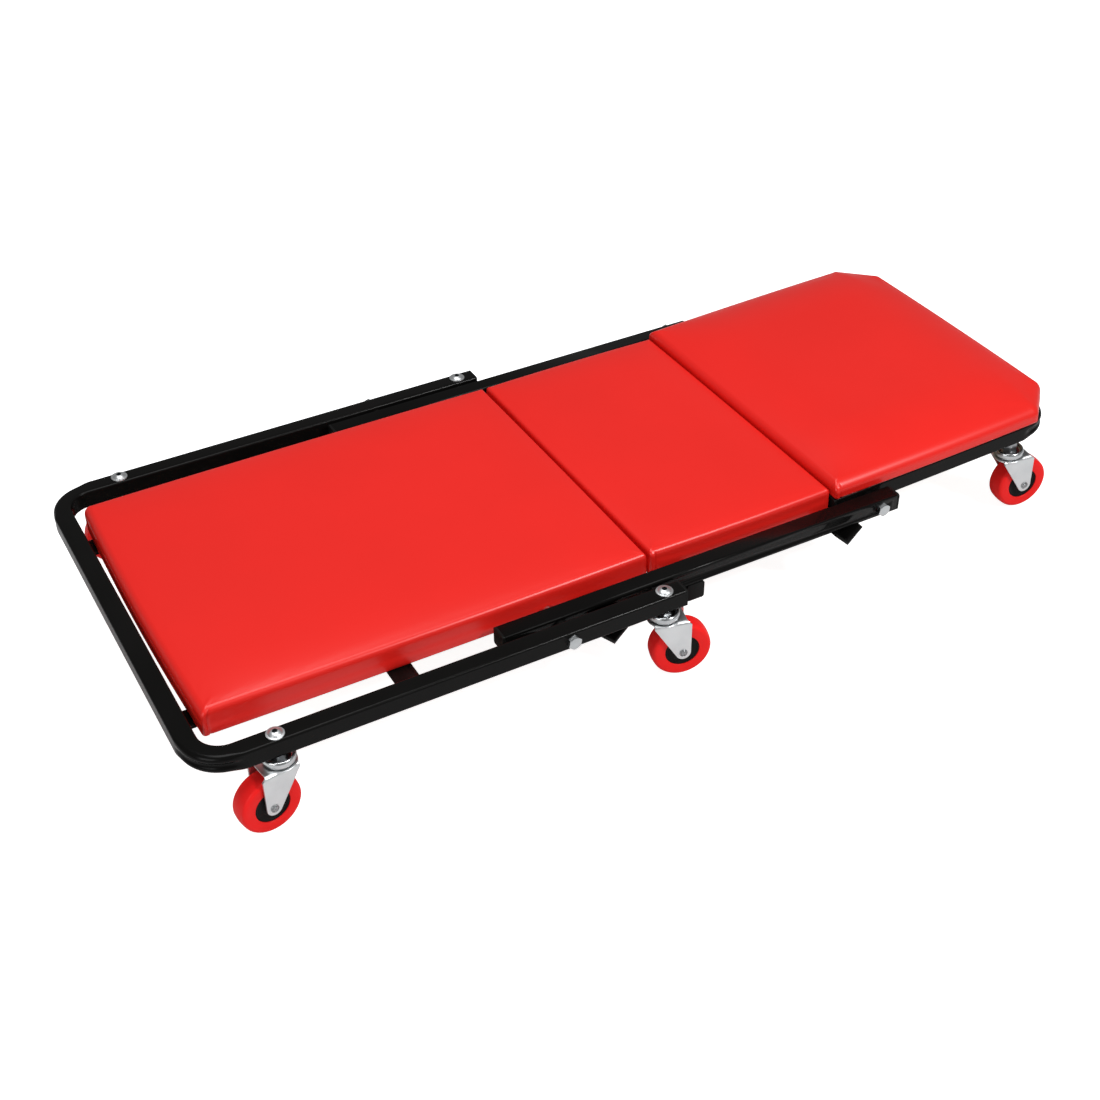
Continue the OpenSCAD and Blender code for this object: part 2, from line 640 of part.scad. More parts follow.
module foot_caster_bolts() color(zinc) each_foot_caster() caster_bolt();
module foot_king_pins() color(zinc) each_foot_caster() king_pin(0);
module foot_cups() color(zinc) each_foot_caster() upper_cup();
module foot_swivel_balls() color(zinc) each_foot_caster() ball_ring();
module head_caster_bolts() color(zinc) each_head_caster() caster_bolt();
module head_king_pins() color(zinc) each_head_caster() king_pin(head_extra);
module head_cups() color(zinc) each_head_caster() translate([0, 0, -head_extra]) upper_cup();
module head_swivel_balls() color(zinc) each_head_caster() translate([0, 0, -head_extra]) ball_ring();

// The moving parts of one caster, by kind
module caster_piece(kind) {
    if (kind == "fork") color(zinc) fork(caster_drop);
    if (kind == "axle") color(zinc) axle(caster_drop);
    if (kind == "core") color(plastic) wheel_core(caster_drop);
    if (kind == "tyre") color(red) tyre(caster_drop);
}
module foot_caster(kind) at_foot_caster(caster_1_x, swivel_1) caster_piece(kind);
module waist_caster(kind) at_foot_caster(caster_2_x, swivel_2) caster_piece(kind);
module head_caster(kind) at_head_caster(swivel_3) translate([0, 0, -head_extra]) caster_piece(kind);

foot_rail();
foot_end_plugs();
foot_cross_bar();
foot_pad_tabs();
foot_stop_angle();
foot_pad_board();
foot_pad_cushion();
foot_pad_screws();
fold_1_bolts();
fold_1_spacers();
fold_1_nuts();
foot_caster_bolts();
foot_king_pins();
foot_cups();
foot_swivel_balls();
mid_rail_near();
mid_rail_far();
mid_end_plugs();
mid_cross_tube();
mid_stop_angle();
mid_pad_board();
mid_pad_cushion();
mid_pad_screws();
fold_2_bolts();
fold_2_spacers();
fold_2_nuts();
head_rail();
head_end_plugs();
head_pad_board();
head_pad_cushion();
head_pad_screws();
head_caster_bolts();
head_king_pins();
head_cups();
head_swivel_balls();
foot_caster("fork");  // foot_near_fork
foot_caster("axle");  // foot_near_axle
foot_caster("core");  // foot_near_core
foot_caster("tyre");  // foot_near_tyre
far_side() foot_caster("fork");  // foot_far_fork
far_side() foot_caster("axle");  // foot_far_axle
far_side() foot_caster("core");  // foot_far_core
far_side() foot_caster("tyre");  // foot_far_tyre
waist_caster("fork");  // waist_near_fork
waist_caster("axle");  // waist_near_axle
waist_caster("core");  // waist_near_core
waist_caster("tyre");  // waist_near_tyre
far_side() waist_caster("fork");  // waist_far_fork
far_side() waist_caster("axle");  // waist_far_axle
far_side() waist_caster("core");  // waist_far_core
far_side() waist_caster("tyre");  // waist_far_tyre
head_caster("fork");  // head_near_fork
head_caster("axle");  // head_near_axle
head_caster("core");  // head_near_core
head_caster("tyre");  // head_near_tyre
far_side() head_caster("fork");  // head_far_fork
far_side() head_caster("axle");  // head_far_axle
far_side() head_caster("core");  // head_far_core
far_side() head_caster("tyre");  // head_far_tyre
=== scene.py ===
# Folding creeper stool: three padded steel frames, hinged in a Z, on six swivel casters.
# The pieces come in the order in which the stool is put together.
# Lengths in the sections are millimetres, measured from the foot end of the flat creeper.

import json
from math import acos, asin, atan2, cos, hypot, pi, radians, sin, sqrt

import bmesh
import bpy
import numpy as np
from mathutils import Matrix, Vector

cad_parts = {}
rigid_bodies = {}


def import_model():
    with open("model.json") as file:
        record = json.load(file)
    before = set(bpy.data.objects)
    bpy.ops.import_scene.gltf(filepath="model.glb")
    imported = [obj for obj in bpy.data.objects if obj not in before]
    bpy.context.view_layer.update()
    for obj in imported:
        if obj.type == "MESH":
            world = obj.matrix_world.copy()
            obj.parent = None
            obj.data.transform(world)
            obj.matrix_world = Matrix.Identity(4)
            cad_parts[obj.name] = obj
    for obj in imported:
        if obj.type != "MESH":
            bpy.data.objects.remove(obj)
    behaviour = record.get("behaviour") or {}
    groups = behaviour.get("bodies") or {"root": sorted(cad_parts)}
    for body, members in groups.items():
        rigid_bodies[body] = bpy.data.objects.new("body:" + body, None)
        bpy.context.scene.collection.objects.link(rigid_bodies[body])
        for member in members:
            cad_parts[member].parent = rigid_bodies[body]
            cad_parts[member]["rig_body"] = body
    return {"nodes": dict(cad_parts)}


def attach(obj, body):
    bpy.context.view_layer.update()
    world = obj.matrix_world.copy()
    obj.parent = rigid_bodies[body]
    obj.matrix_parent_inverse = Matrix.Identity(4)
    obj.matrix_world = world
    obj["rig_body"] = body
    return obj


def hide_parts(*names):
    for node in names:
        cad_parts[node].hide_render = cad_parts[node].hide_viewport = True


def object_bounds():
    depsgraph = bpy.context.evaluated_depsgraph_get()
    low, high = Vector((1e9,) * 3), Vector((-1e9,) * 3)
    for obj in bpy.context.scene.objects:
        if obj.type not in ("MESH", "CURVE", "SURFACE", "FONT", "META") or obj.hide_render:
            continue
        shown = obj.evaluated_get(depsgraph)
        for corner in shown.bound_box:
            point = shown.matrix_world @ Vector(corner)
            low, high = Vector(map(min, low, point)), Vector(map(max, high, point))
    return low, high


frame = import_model()
cad_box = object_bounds()

# The studio
# A pale floor that runs out of the picture, a wide soft light overhead, a faint one on the
# left, and a small one in front, which draws the bright line along the pads' shoulders.


def node(tree, kind, inputs=None, **settings):
    """Places one shader node; an input is a plain value or another node's output."""
    made = tree.nodes.new(kind)
    for name, value in settings.items():
        setattr(made, name, value)
    for name, value in (inputs or {}).items():
        if isinstance(value, bpy.types.NodeSocket):
            tree.links.new(value, made.inputs[name])
        else:
            made.inputs[name].default_value = value
    return made


def mixed(tree, share, first, second):
    """A colour between two others."""
    made = node(tree, "ShaderNodeMix", {0: share, 6: first, 7: second}, data_type="RGBA")
    return made.outputs[2]


def new_finish(name, **sockets):
    """A material with its Principled shader; constants go straight on the shader's sockets."""
    finish = bpy.data.materials.new(name)
    finish.use_nodes = True
    shader = finish.node_tree.nodes["Principled BSDF"]
    for label, value in sockets.items():
        shader.inputs[label.replace("_", " ")].default_value = value
    return finish, finish.node_tree, shader


def white_to_camera(tree, lit, seen):
    """A brightness that the camera sees, over the one that lights the stool."""
    camera_ray = node(tree, "ShaderNodeLightPath").outputs["Is Camera Ray"]
    return node(tree, "ShaderNodeMapRange", {"Value": camera_ray, "To Min": lit, "To Max": seen}).outputs[0]


def soft_light(name, size, power, place, aim):
    """A rectangular lamp turned towards its aim; sides and places in metres, power in watts."""
    lamp = bpy.data.lights.new(name, "AREA")
    lamp.shape, lamp.size, lamp.size_y, lamp.energy = "RECTANGLE", size[0], size[1], power
    light = bpy.data.objects.new(name, lamp)
    light.location = place
    light.rotation_euler = (Vector(aim) - Vector(place)).to_track_quat("-Z", "Y").to_euler()
    bpy.context.scene.collection.objects.link(light)


floor_reach = 30
floor_finish, tree, shader = new_finish("pale_floor", Roughness=0.85, Specular_IOR_Level=0.0,
                                        Emission_Color=(1, 1, 1, 1))
cloudy = node(tree, "ShaderNodeTexNoise", {"Scale": 1.5, "Detail": 2.0})
pale = mixed(tree, cloudy.outputs["Fac"], (0.7, 0.7, 0.7, 1), (0.68, 0.68, 0.682, 1))
tree.links.new(pale, shader.inputs["Base Color"])
tree.links.new(white_to_camera(tree, lit=0.0, seen=0.9), shader.inputs["Emission Strength"])
floor_corners = [(x * floor_reach, y * floor_reach, 0) for x, y in ((-1, -1), (1, -1), (1, 1), (-1, 1))]
floor_mesh = bpy.data.meshes.new("floor")
floor_mesh.from_pydata(floor_corners, [], [(0, 1, 2, 3)])
floor_mesh.materials.append(floor_finish)
floor = bpy.data.objects.new("floor", floor_mesh)
bpy.context.scene.collection.objects.link(floor)

soft_light("overhead", size=(1.5, 1.3), power=33, place=(-0.3, 0.1, 2.4), aim=(0, 0, 0))
soft_light("front_right", size=(0.4, 0.35), power=46, place=(1.1, -1.9, 2.1), aim=(0.1, 0, 0.1))
soft_light("left_fill", size=(1.0, 0.8), power=9, place=(-1.8, -1.0, 0.9), aim=(-0.2, 0, 0.08))
world = bpy.data.worlds.new("studio")
bpy.context.scene.world = world
world.use_nodes = True
sky = world.node_tree.nodes["Background"]
sky.inputs["Color"].default_value = (1, 1, 1, 1)
world.node_tree.links.new(white_to_camera(world.node_tree, lit=0.2, seen=1.0), sky.inputs["Strength"])
bpy.context.scene.view_settings.view_transform = "Standard"

# The camera
# It looks down at the near side from the foot end, as the photographer stood. Its place,
# angles and lens were fitted to the stool's straight edges and bolt heads in the photo.

yaw, pitch, roll = 0.4931, 0.6529, -0.016
camera_place = (-0.734634, -1.3032, 1.1344)
across = Vector((cos(yaw), -sin(yaw), 0))
ahead = Vector((sin(yaw) * cos(pitch), cos(yaw) * cos(pitch), -sin(pitch)))
upward = across.cross(ahead)
turned_x = cos(roll) * across + sin(roll) * upward
turned_y = cos(roll) * upward - sin(roll) * across
facing = Matrix((turned_x, turned_y, -ahead)).transposed().to_4x4()
lens = bpy.data.cameras.new("camera")
lens.sensor_width, lens.lens = 36, 54.73
lens.clip_start, lens.clip_end = 0.05, 100
camera = bpy.data.objects.new("camera", lens)
camera.matrix_world = Matrix.Translation(camera_place) @ facing
bpy.context.scene.collection.objects.link(camera)
bpy.context.scene.camera = camera

# Bent tube rails
# Foot and head frames: square steel tube, powder coated black, bent on a press that
# draws the outer wall of each bend in, with a groove between two rolls.

tube, tube_wall, tube_corner = 20, 1.5, 2.5
bend_radius = 34
frame_top = 103
fold_z = frame_top - tube / 2
foot_half_width, foot_rail_length = 240, 508.5
head_half_width, head_rail_length, head_reach = 188, 307, 267
foot_leg_y, head_leg_y = foot_half_width - tube / 2, head_half_width - tube / 2
fold_1_x, fold_2_x, head_tilt = 381, 769.5, radians(1.8)
caster_1_x, caster_2_x, caster_3_x = 82, 489.5, 207.5
head_screw_1_x, head_screw_2_x = 60, 170
bolt_hole, pivot_hole, screw_hole = 8.4, 8.16, 5.4
# The bend's outer wall is drawn in by the dent, with the groove between the rolls. It starts
# part way where the bend does, and grows to the whole over the first degrees of the bend.
dent, groove, roll_at, still_below = 1.3, 2.1, 4.6, 2
dent_start, dent_grows = 0.42, 15

on_stand = Matrix.Translation((cad_box[0].x, 0, 0)) @ Matrix.Scale(0.001, 4)
on_head = on_stand @ Matrix.Translation((fold_2_x, 0, fold_z)) @ Matrix.Rotation(-head_tilt, 4, "Y")
far_side = Matrix.Scale(-1, 4, (0, 1, 0))


def new_group(name, inputs, outputs):
    """A shared effect, with named inputs and outputs."""
    group = bpy.data.node_groups.new(name, "ShaderNodeTree")
    for label, value in inputs.items():
        kind = "NodeSocketFloat" if isinstance(value, (int, float)) else "NodeSocketColor"
        group.interface.new_socket(label, in_out="INPUT", socket_type=kind).default_value = value
    for label, kind in outputs.items():
        group.interface.new_socket(label, in_out="OUTPUT", socket_type=kind)
    return group, group.nodes.new("NodeGroupInput").outputs, group.nodes.new("NodeGroupOutput").inputs


def surface_group(name, cloud_size, grain_size, grain_kind):
    """Cloudy colour and gloss over a fine grain, in the object's own space; both sizes in metres."""
    grey = (0.5, 0.5, 0.5, 1)
    group, given, out = new_group(
        name, {"Colour": grey, "Second colour": grey, "Roughness": 0.5, "Unevenness": 0.1},
        {"Colour": "NodeSocketColor", "Roughness": "NodeSocketFloat", "Height": "NodeSocketFloat"})
    place = node(group, "ShaderNodeTexCoord").outputs["Object"]
    cloud = node(group, "ShaderNodeTexNoise", {"Vector": place, "Scale": 1 / cloud_size, "Detail": 4.0})
    if grain_kind == "cells":
        grain = node(group, "ShaderNodeTexVoronoi", {"Vector": place, "Scale": 1 / grain_size},
                     feature="SMOOTH_F1").outputs["Distance"]
    else:
        grain = node(group, "ShaderNodeTexNoise",
                     {"Vector": place, "Scale": 1 / grain_size, "Detail": 2.0}).outputs["Fac"]
    spread = node(group, "ShaderNodeMapRange",
                  {"Value": cloud.outputs["Fac"], "From Min": 0.25, "From Max": 0.75},
                  interpolation_type="SMOOTHSTEP").outputs[0]
    group.links.new(mixed(group, spread, given["Colour"], given["Second colour"]), out["Colour"])
    both = node(group, "ShaderNodeMath", {0: spread, 1: given["Unevenness"]}, operation="MULTIPLY")
    gloss = node(group, "ShaderNodeMath", {0: given["Roughness"], 1: both.outputs[0]}, operation="ADD")
    group.links.new(gloss.outputs[0], out["Roughness"])
    group.links.new(grain, out["Height"])
    return group


def surface(name, group, tint, second, rough, uneven, depth, **sockets):
    """A finish that uses one of the shared surface groups; depth is the grain's, in millimetres."""
    finish, tree, shader = new_finish(name, **sockets)
    skin = node(tree, "ShaderNodeGroup", node_tree=group)
    for label, value in (("Colour", (*tint, 1)), ("Second colour", (*second, 1)),
                         ("Roughness", rough), ("Unevenness", uneven)):
        skin.inputs[label].default_value = value
    relief = node(tree, "ShaderNodeBump",
                  {"Height": skin.outputs["Height"], "Distance": depth / 1000, "Strength": 1.0})
    tree.links.new(skin.outputs["Colour"], shader.inputs["Base Color"])
    tree.links.new(skin.outputs["Roughness"], shader.inputs["Roughness"])
    tree.links.new(relief.outputs[0], shader.inputs["Normal"])
    return finish


def shaded(piece, sharp):
    """Smooth shading, with edges sharper than this many degrees left crisp."""
    piece.data.shade_smooth()
    piece.data.set_sharp_from_angle(angle=radians(sharp))


def settled(piece):
    """Works the piece's modifiers into its mesh."""
    worked = piece.evaluated_get(bpy.context.evaluated_depsgraph_get())
    mesh = bpy.data.meshes.new_from_object(worked)
    piece.modifiers.clear()
    piece.data = mesh


def loose_piece(name, parts):
    """One object from (points, faces, place) parts; its faces look outwards."""
    points, faces = [], []
    for part_points, part_faces, place in parts:
        start = len(points)
        points += [place @ Vector(p) for p in part_points]
        faces += [[start + i for i in face] for face in part_faces]
    mesh = bpy.data.meshes.new(name)
    mesh.from_pydata(points, [], faces)
    form = bmesh.new()
    form.from_mesh(mesh)
    bmesh.ops.recalc_face_normals(form, faces=form.faces)
    form.to_mesh(mesh)
    form.free()
    piece = bpy.data.objects.new(name, mesh)
    bpy.context.scene.collection.objects.link(piece)
    return piece


def fitted(piece, body, finish, stands_for=(), sharp=38):
    """Gives a piece its finish and fixes it to the body it moves with."""
    piece.data.materials.clear()
    piece.data.materials.append(finish)
    shaded(piece, sharp)
    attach(piece, body)
    if stands_for:
        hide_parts(*stands_for)


def tube_profile(half, corner):
    """Square section with round corners; the outer wall is cut up finely for the dent."""
    flat = half - corner
    profile = [(half, v * flat) for v in np.linspace(-0.92, 0.92, 15)]
    for turn in range(4):
        a0 = turn * pi / 2
        centre = flat * Vector((sqrt(2) * cos(a0 + pi / 4), sqrt(2) * sin(a0 + pi / 4)))
        profile += [(centre.x + corner * cos(a0 + a), centre.y + corner * sin(a0 + a))
                    for a in np.linspace(0, pi / 2, 6)]
        if turn < 3:
            along = Vector((cos(a0 + pi / 2), sin(a0 + pi / 2)))
            side = Vector((-along.y, along.x))
            profile += [tuple(along * half + side * s * flat) for s in (-0.5, 0, 0.5)]
    return profile


def drawn_in(point, half, amount):
    """Moves a point of the section as the press shapes the bend's outer wall: two rolls and a groove."""
    u, v = point
    if u <= still_below:
        return u, v
    roll = half - roll_at
    if abs(v) > roll_at:
        sunk = roll - sqrt(max(0, roll ** 2 - (abs(v) - roll_at) ** 2))
    else:
        sunk = groove * (1 - (v / roll_at) ** 2) ** 1.5
    return u + amount * (min(u, half - dent - sunk) - u), v


def bent_rail(length, half_width):
    """The whole U as points and faces: an outer and an inner skin, joined round both cut ends."""
    leg_y, bend_x = half_width - tube / 2, tube / 2 + bend_radius
    bend_y = leg_y - bend_radius
    # Each station along the tube: its middle, the direction outwards, and the share of the dent
    lead_in = [(7, 0), (5, 0.04), (3, 0.15), (1.2, 0.3), (0, dent_start)]
    stations = [((x, -leg_y), -pi / 2, 0) for x in np.linspace(length, bend_x + 12, 24)]
    stations += [((bend_x + x, -leg_y), -pi / 2, s) for x, s in lead_in]
    for a in np.linspace(3, 87, 29):
        turn = radians(-90 - a)
        edge = min(1, min(a, 90 - a) / dent_grows)
        middle = (bend_x + bend_radius * cos(turn), -bend_y + bend_radius * sin(turn))
        stations.append((middle, turn, dent_start + (1 - dent_start) * edge * (2 - edge)))
    stations += [((tube / 2, -bend_y + y), -pi, s) for y, s in reversed(lead_in)]
    stations += [((tube / 2, y), -pi, 0) for y in np.linspace(-bend_y + 14, 0, 9)[:-1]]
    stations += [((x, -y), -a, s) for (x, y), a, s in reversed(stations)]
    skins = []
    for half in (tube / 2, tube / 2 - tube_wall):
        skins.append((half, tube_profile(half, tube_corner - tube / 2 + half)))
    points, faces, count = [], [], len(skins[0][1])
    for (x, y), a, amount in stations:
        for half, skin in skins:
            for u, v in (drawn_in(p, half, amount) for p in skin):
                points.append((x + u * cos(a), y + u * sin(a), v))
    for k in range(len(stations) - 1):
        for skin in (0, count):
            for i in range(count):
                a, b = 2 * count * k + skin + i, 2 * count * k + skin + (i + 1) % count
                faces.append((a, b, b + 2 * count, a + 2 * count))
    for first in (0, 2 * count * (len(stations) - 1)):
        for i in range(count):
            a, b = first + i, first + (i + 1) % count
            faces.append((a, b, b + count, a + count))
    return points, faces


def turned(profile, steps=48, closed=False):
    """A piece turned about Z from a profile of (radius, height)."""
    points, faces, rings = [], [], []
    for r, z in profile:
        rings.append(range(len(points), len(points) + (steps if r > 0 else 1)))
        points += [(r * cos(2 * pi * i / steps), r * sin(2 * pi * i / steps), z)
                   for i in range(steps if r > 0 else 1)]
    pairs = list(zip(rings, rings[1:])) + ([(rings[-1], rings[0])] if closed else [])
    for low, high in pairs:
        for i in range(steps):
            j = (i + 1) % steps
            a, b = low[i % len(low)], low[j % len(low)]
            c, d = high[j % len(high)], high[i % len(high)]
            faces.append([v for k, v in enumerate((a, b, c, d)) if v not in (a, b, c, d)[:k]])
    return points, faces


def drilled(piece, holes):
    """Drills round holes: (place of the middle, axis, diameter), in the piece's space."""
    reach = 15
    parts = []
    for place, axis, size in holes:
        rod = turned([(0, -reach), (size / 2, -reach), (size / 2, reach), (0, reach)], steps=24)
        parts.append((*rod, place @ (Matrix.Rotation(pi / 2, 4, "X") if axis == "y" else Matrix())))
    drill = loose_piece("drill", parts)
    cut = piece.modifiers.new("holes", "BOOLEAN")
    cut.object, cut.operation, cut.solver = drill, "DIFFERENCE", "EXACT"
    settled(piece)
    bpy.data.objects.remove(drill)


powder_coat = surface_group("powder_coat", cloud_size=0.09, grain_size=0.0016, grain_kind="noise")
black_steel = surface("black_steel", powder_coat, (0.0034, 0.0033, 0.0031), (0.0046, 0.0044, 0.0042),
                      rough=0.2, uneven=0.05, depth=0.004, Specular_IOR_Level=0.1)

foot_rail = loose_piece("bent_foot_rail", [
    (*bent_rail(foot_rail_length, foot_half_width), on_stand @ Matrix.Translation((0, 0, fold_z)))])
foot_holes = [(caster_1_x, "z", bolt_hole), (caster_2_x, "z", bolt_hole), (fold_1_x, "y", bolt_hole)]
drilled(foot_rail, [(on_stand @ Matrix.Translation((x, side * foot_leg_y, fold_z)), axis, size)
                    for side in (-1, 1) for x, axis, size in foot_holes])
fitted(foot_rail, "foot_frame", black_steel, ["foot_rail"])

head_place = on_head @ Matrix.Translation((head_reach, 0, 0)) @ Matrix.Scale(-1, 4, (1, 0, 0))
head_rail = loose_piece("bent_head_rail", [(*bent_rail(head_rail_length, head_half_width), head_place)])
head_holes = [(0, "y", pivot_hole), (caster_3_x, "z", bolt_hole),
              (head_screw_1_x, "z", screw_hole), (head_screw_2_x, "z", screw_hole)]
drilled(head_rail, [(on_head @ Matrix.Translation((x, side * head_leg_y, 0)), axis, size)
                    for side in (-1, 1) for x, axis, size in head_holes])
fitted(head_rail, "head_frame", black_steel, ["head_rail"])

# Straight steel: middle rails, cross tube, stop angles, cross bar and pad tabs
# Lengths of square tube, angle and flat bar, under the same black powder coat as the bent
# rails. The cut edges of the angles and flats are eased, as the coat leaves them.


def dressed(name, finish, ease):
    """Finishes a CAD piece, joins its split corners and eases its edges by this many millimetres."""
    crisp = 30
    piece = frame["nodes"][name]
    piece.data.materials.clear()
    piece.data.materials.append(finish)
    if piece.data.attributes.get("custom_normal"):
        piece.data.attributes.remove(piece.data.attributes["custom_normal"])
    weld = piece.modifiers.new("weld", "WELD")
    weld.merge_threshold = 0.00001
    if ease:
        bevel = piece.modifiers.new("eased", "BEVEL")
        bevel.width, bevel.segments = ease / 1000, 2
        bevel.limit_method, bevel.angle_limit = "ANGLE", radians(crisp)
        bevel.harden_normals = False
    shaded(piece, crisp)


for name in ("foot_cross_bar", "foot_pad_tabs", "foot_stop_angle", "mid_stop_angle"):
    dressed(name, black_steel, ease=0.5)
for name in ("mid_rail_near", "mid_rail_far", "mid_cross_tube"):
    dressed(name, black_steel, ease=0)

# End plugs
# Black moulded plugs, pressed into the open ends of the tubes. A flat head covers the
# tube's cut edge, and the body behind it grips the inside of the tube.

moulded = surface_group("moulded", cloud_size=0.03, grain_size=0.0007, grain_kind="noise")
black_plastic = surface("black_plastic", moulded, (0.0055, 0.0056, 0.0054), (0.0085, 0.0085, 0.0083),
                        rough=0.42, uneven=0.12, depth=0.015, Specular_IOR_Level=0.08)
for name in ("foot_end_plugs", "mid_end_plugs", "head_end_plugs"):
    dressed(name, black_plastic, ease=0.6)

# Pad boards
# Plywood panels, seen only from below. The cover is turned over each board's edge, so the
# board lies a little above the turned hem, and screws from below hold it to the frame.

board_thick, board_play = 9, 0.1
cover_wrap, hem_thick = 3.6, 0.9
pad_half_width, head_pad_half_width = 182.5, 189
foot_pad, mid_pad, head_pad = (28.5, 498.5), (503, 723.5), (-41, 271)
head_pad_cut = 38

plywood, tree, shader = new_finish("plywood", Roughness=0.62)
place = node(tree, "ShaderNodeTexCoord").outputs["Object"]
along = node(tree, "ShaderNodeMapping", {"Vector": place, "Scale": (2.0, 34.0, 34.0)}).outputs[0]
figure = node(tree, "ShaderNodeTexNoise", {"Vector": along, "Scale": 2.2, "Detail": 6.0, "Distortion": 0.8})
pores = node(tree, "ShaderNodeTexNoise", {"Vector": along, "Scale": 30.0, "Detail": 2.0})
warm = mixed(tree, figure.outputs["Fac"], (0.5, 0.33, 0.18, 1), (0.68, 0.5, 0.31, 1))
dark = mixed(tree, pores.outputs["Fac"], warm, (0.4, 0.26, 0.14, 1))
tree.links.new(mixed(tree, 0.35, warm, dark), shader.inputs["Base Color"])
relief = node(tree, "ShaderNodeBump", {"Height": pores.outputs["Fac"], "Distance": 0.0001})
tree.links.new(relief.outputs[0], shader.inputs["Normal"])


def plate(outline, low, high):
    """A flat panel between two heights, its edges eased."""
    ease = 0.5
    count = len(outline)
    mid = [sum(p[k] for p in outline) / count for k in (0, 1)]

    def ring(z, inset):
        return [(x - (1 if x > mid[0] else -1) * inset, y - (1 if y > mid[1] else -1) * inset, z)
                for x, y in outline]
    points = ring(low, ease) + ring(low + ease, 0) + ring(high - ease, 0) + ring(high, ease)
    faces = [list(range(count))[::-1], list(range(3 * count, 4 * count))]
    for first in (0, count, 2 * count):
        for i in range(count):
            a, b = first + i, first + (i + 1) % count
            faces.append((a, b, b + count, a + count))
    return points, faces


def pad_board(name, node_name, ends, half_width, cut, place, body):
    """A board inside its cover; cut is the size of the chamfers at the head end."""
    inset = cover_wrap + board_play
    x0, x1, y = ends[0] + inset, ends[1] - inset, half_width - inset
    chamfers = [(x1, -y + cut), (x1, y - cut)] if cut else []
    outline = [(x0, -y), (x1 - cut, -y)] + chamfers + [(x1 - cut, y), (x0, y)]
    board = loose_piece(name, [(*plate(outline, hem_thick, board_thick - board_play), place)])
    fitted(board, body, plywood, [node_name], sharp=30)


pads_down = on_stand @ Matrix.Translation((0, 0, frame_top - tube))
head_pads_down = on_head @ Matrix.Translation((0, 0, tube / 2))
pad_board("foot_board", "foot_pad_board", foot_pad, pad_half_width, 0, pads_down, "foot_frame")
pad_board("mid_board", "mid_pad_board", mid_pad, pad_half_width, 0, pads_down, "mid_frame")
pad_board("head_board", "head_pad_board", head_pad, head_pad_half_width, head_pad_cut,
          head_pads_down, "head_frame")

# Pad covers
# Foam under red vinyl, pulled tight round the board and stapled below, so the tops crown,
# the sides bow and the cover is pleated at its corners.

vinyl_skin = surface_group("vinyl_skin", cloud_size=0.16, grain_size=0.0011, grain_kind="cells")
red_vinyl = surface("red_vinyl", vinyl_skin, (0.78, 0.016, 0.011), (0.74, 0.0145, 0.0095),
                    rough=0.32, uneven=0.03, depth=0.006, Specular_IOR_Level=0.4)
# A matt copy of the vinyl with a lighter red: painted light for the foot pad's foot end, which lies in the
# rail's shade
matt_vinyl_painted_lighter = surface("matt_vinyl_painted_lighter", vinyl_skin, (0.92, 0.026, 0.018), (0.88, 0.024, 0.016),
                     rough=0.6, uneven=0.03, depth=0.006, Specular_IOR_Level=0.0)

# The cover's grid is finest beside its edges, where the corners round and the flaps fold
corner_steps = [0, 0.5, 1, 1.6, 2.3, 3.2, 4.2, 5.0, 5.5, 5.9, 6.4, 7.2, 8.6, 10.6, 13.4, 17, 21.5, 26.5]
weave_step = 5.5
corner_round = 2.2
hem_width = 25
pleat_at, pleat_out, pleat_in = 5.45, 0.7, 0.9
flap_reach, crease_at, crease_half, pleat_fade = 12, 0.75, 1.6, 2.2
rise_power, belly = 2.6, 0.4
# The cover starts smaller by its slack, and the foam swells it; the hem below is held by staples
cover_slack, held_below = 0.2, 2.7
foam_push, cloth_steps, swell = 4, 15, 0.5


def marks(length):
    """Distances along an edge, close together towards both corners."""
    middle = length - 2 * corner_steps[-1]
    count = max(2, round(middle / weave_step))
    between = [corner_steps[-1] + middle * k / count for k in range(1, count)]
    return np.array(corner_steps + between + [length - s for s in reversed(corner_steps)])


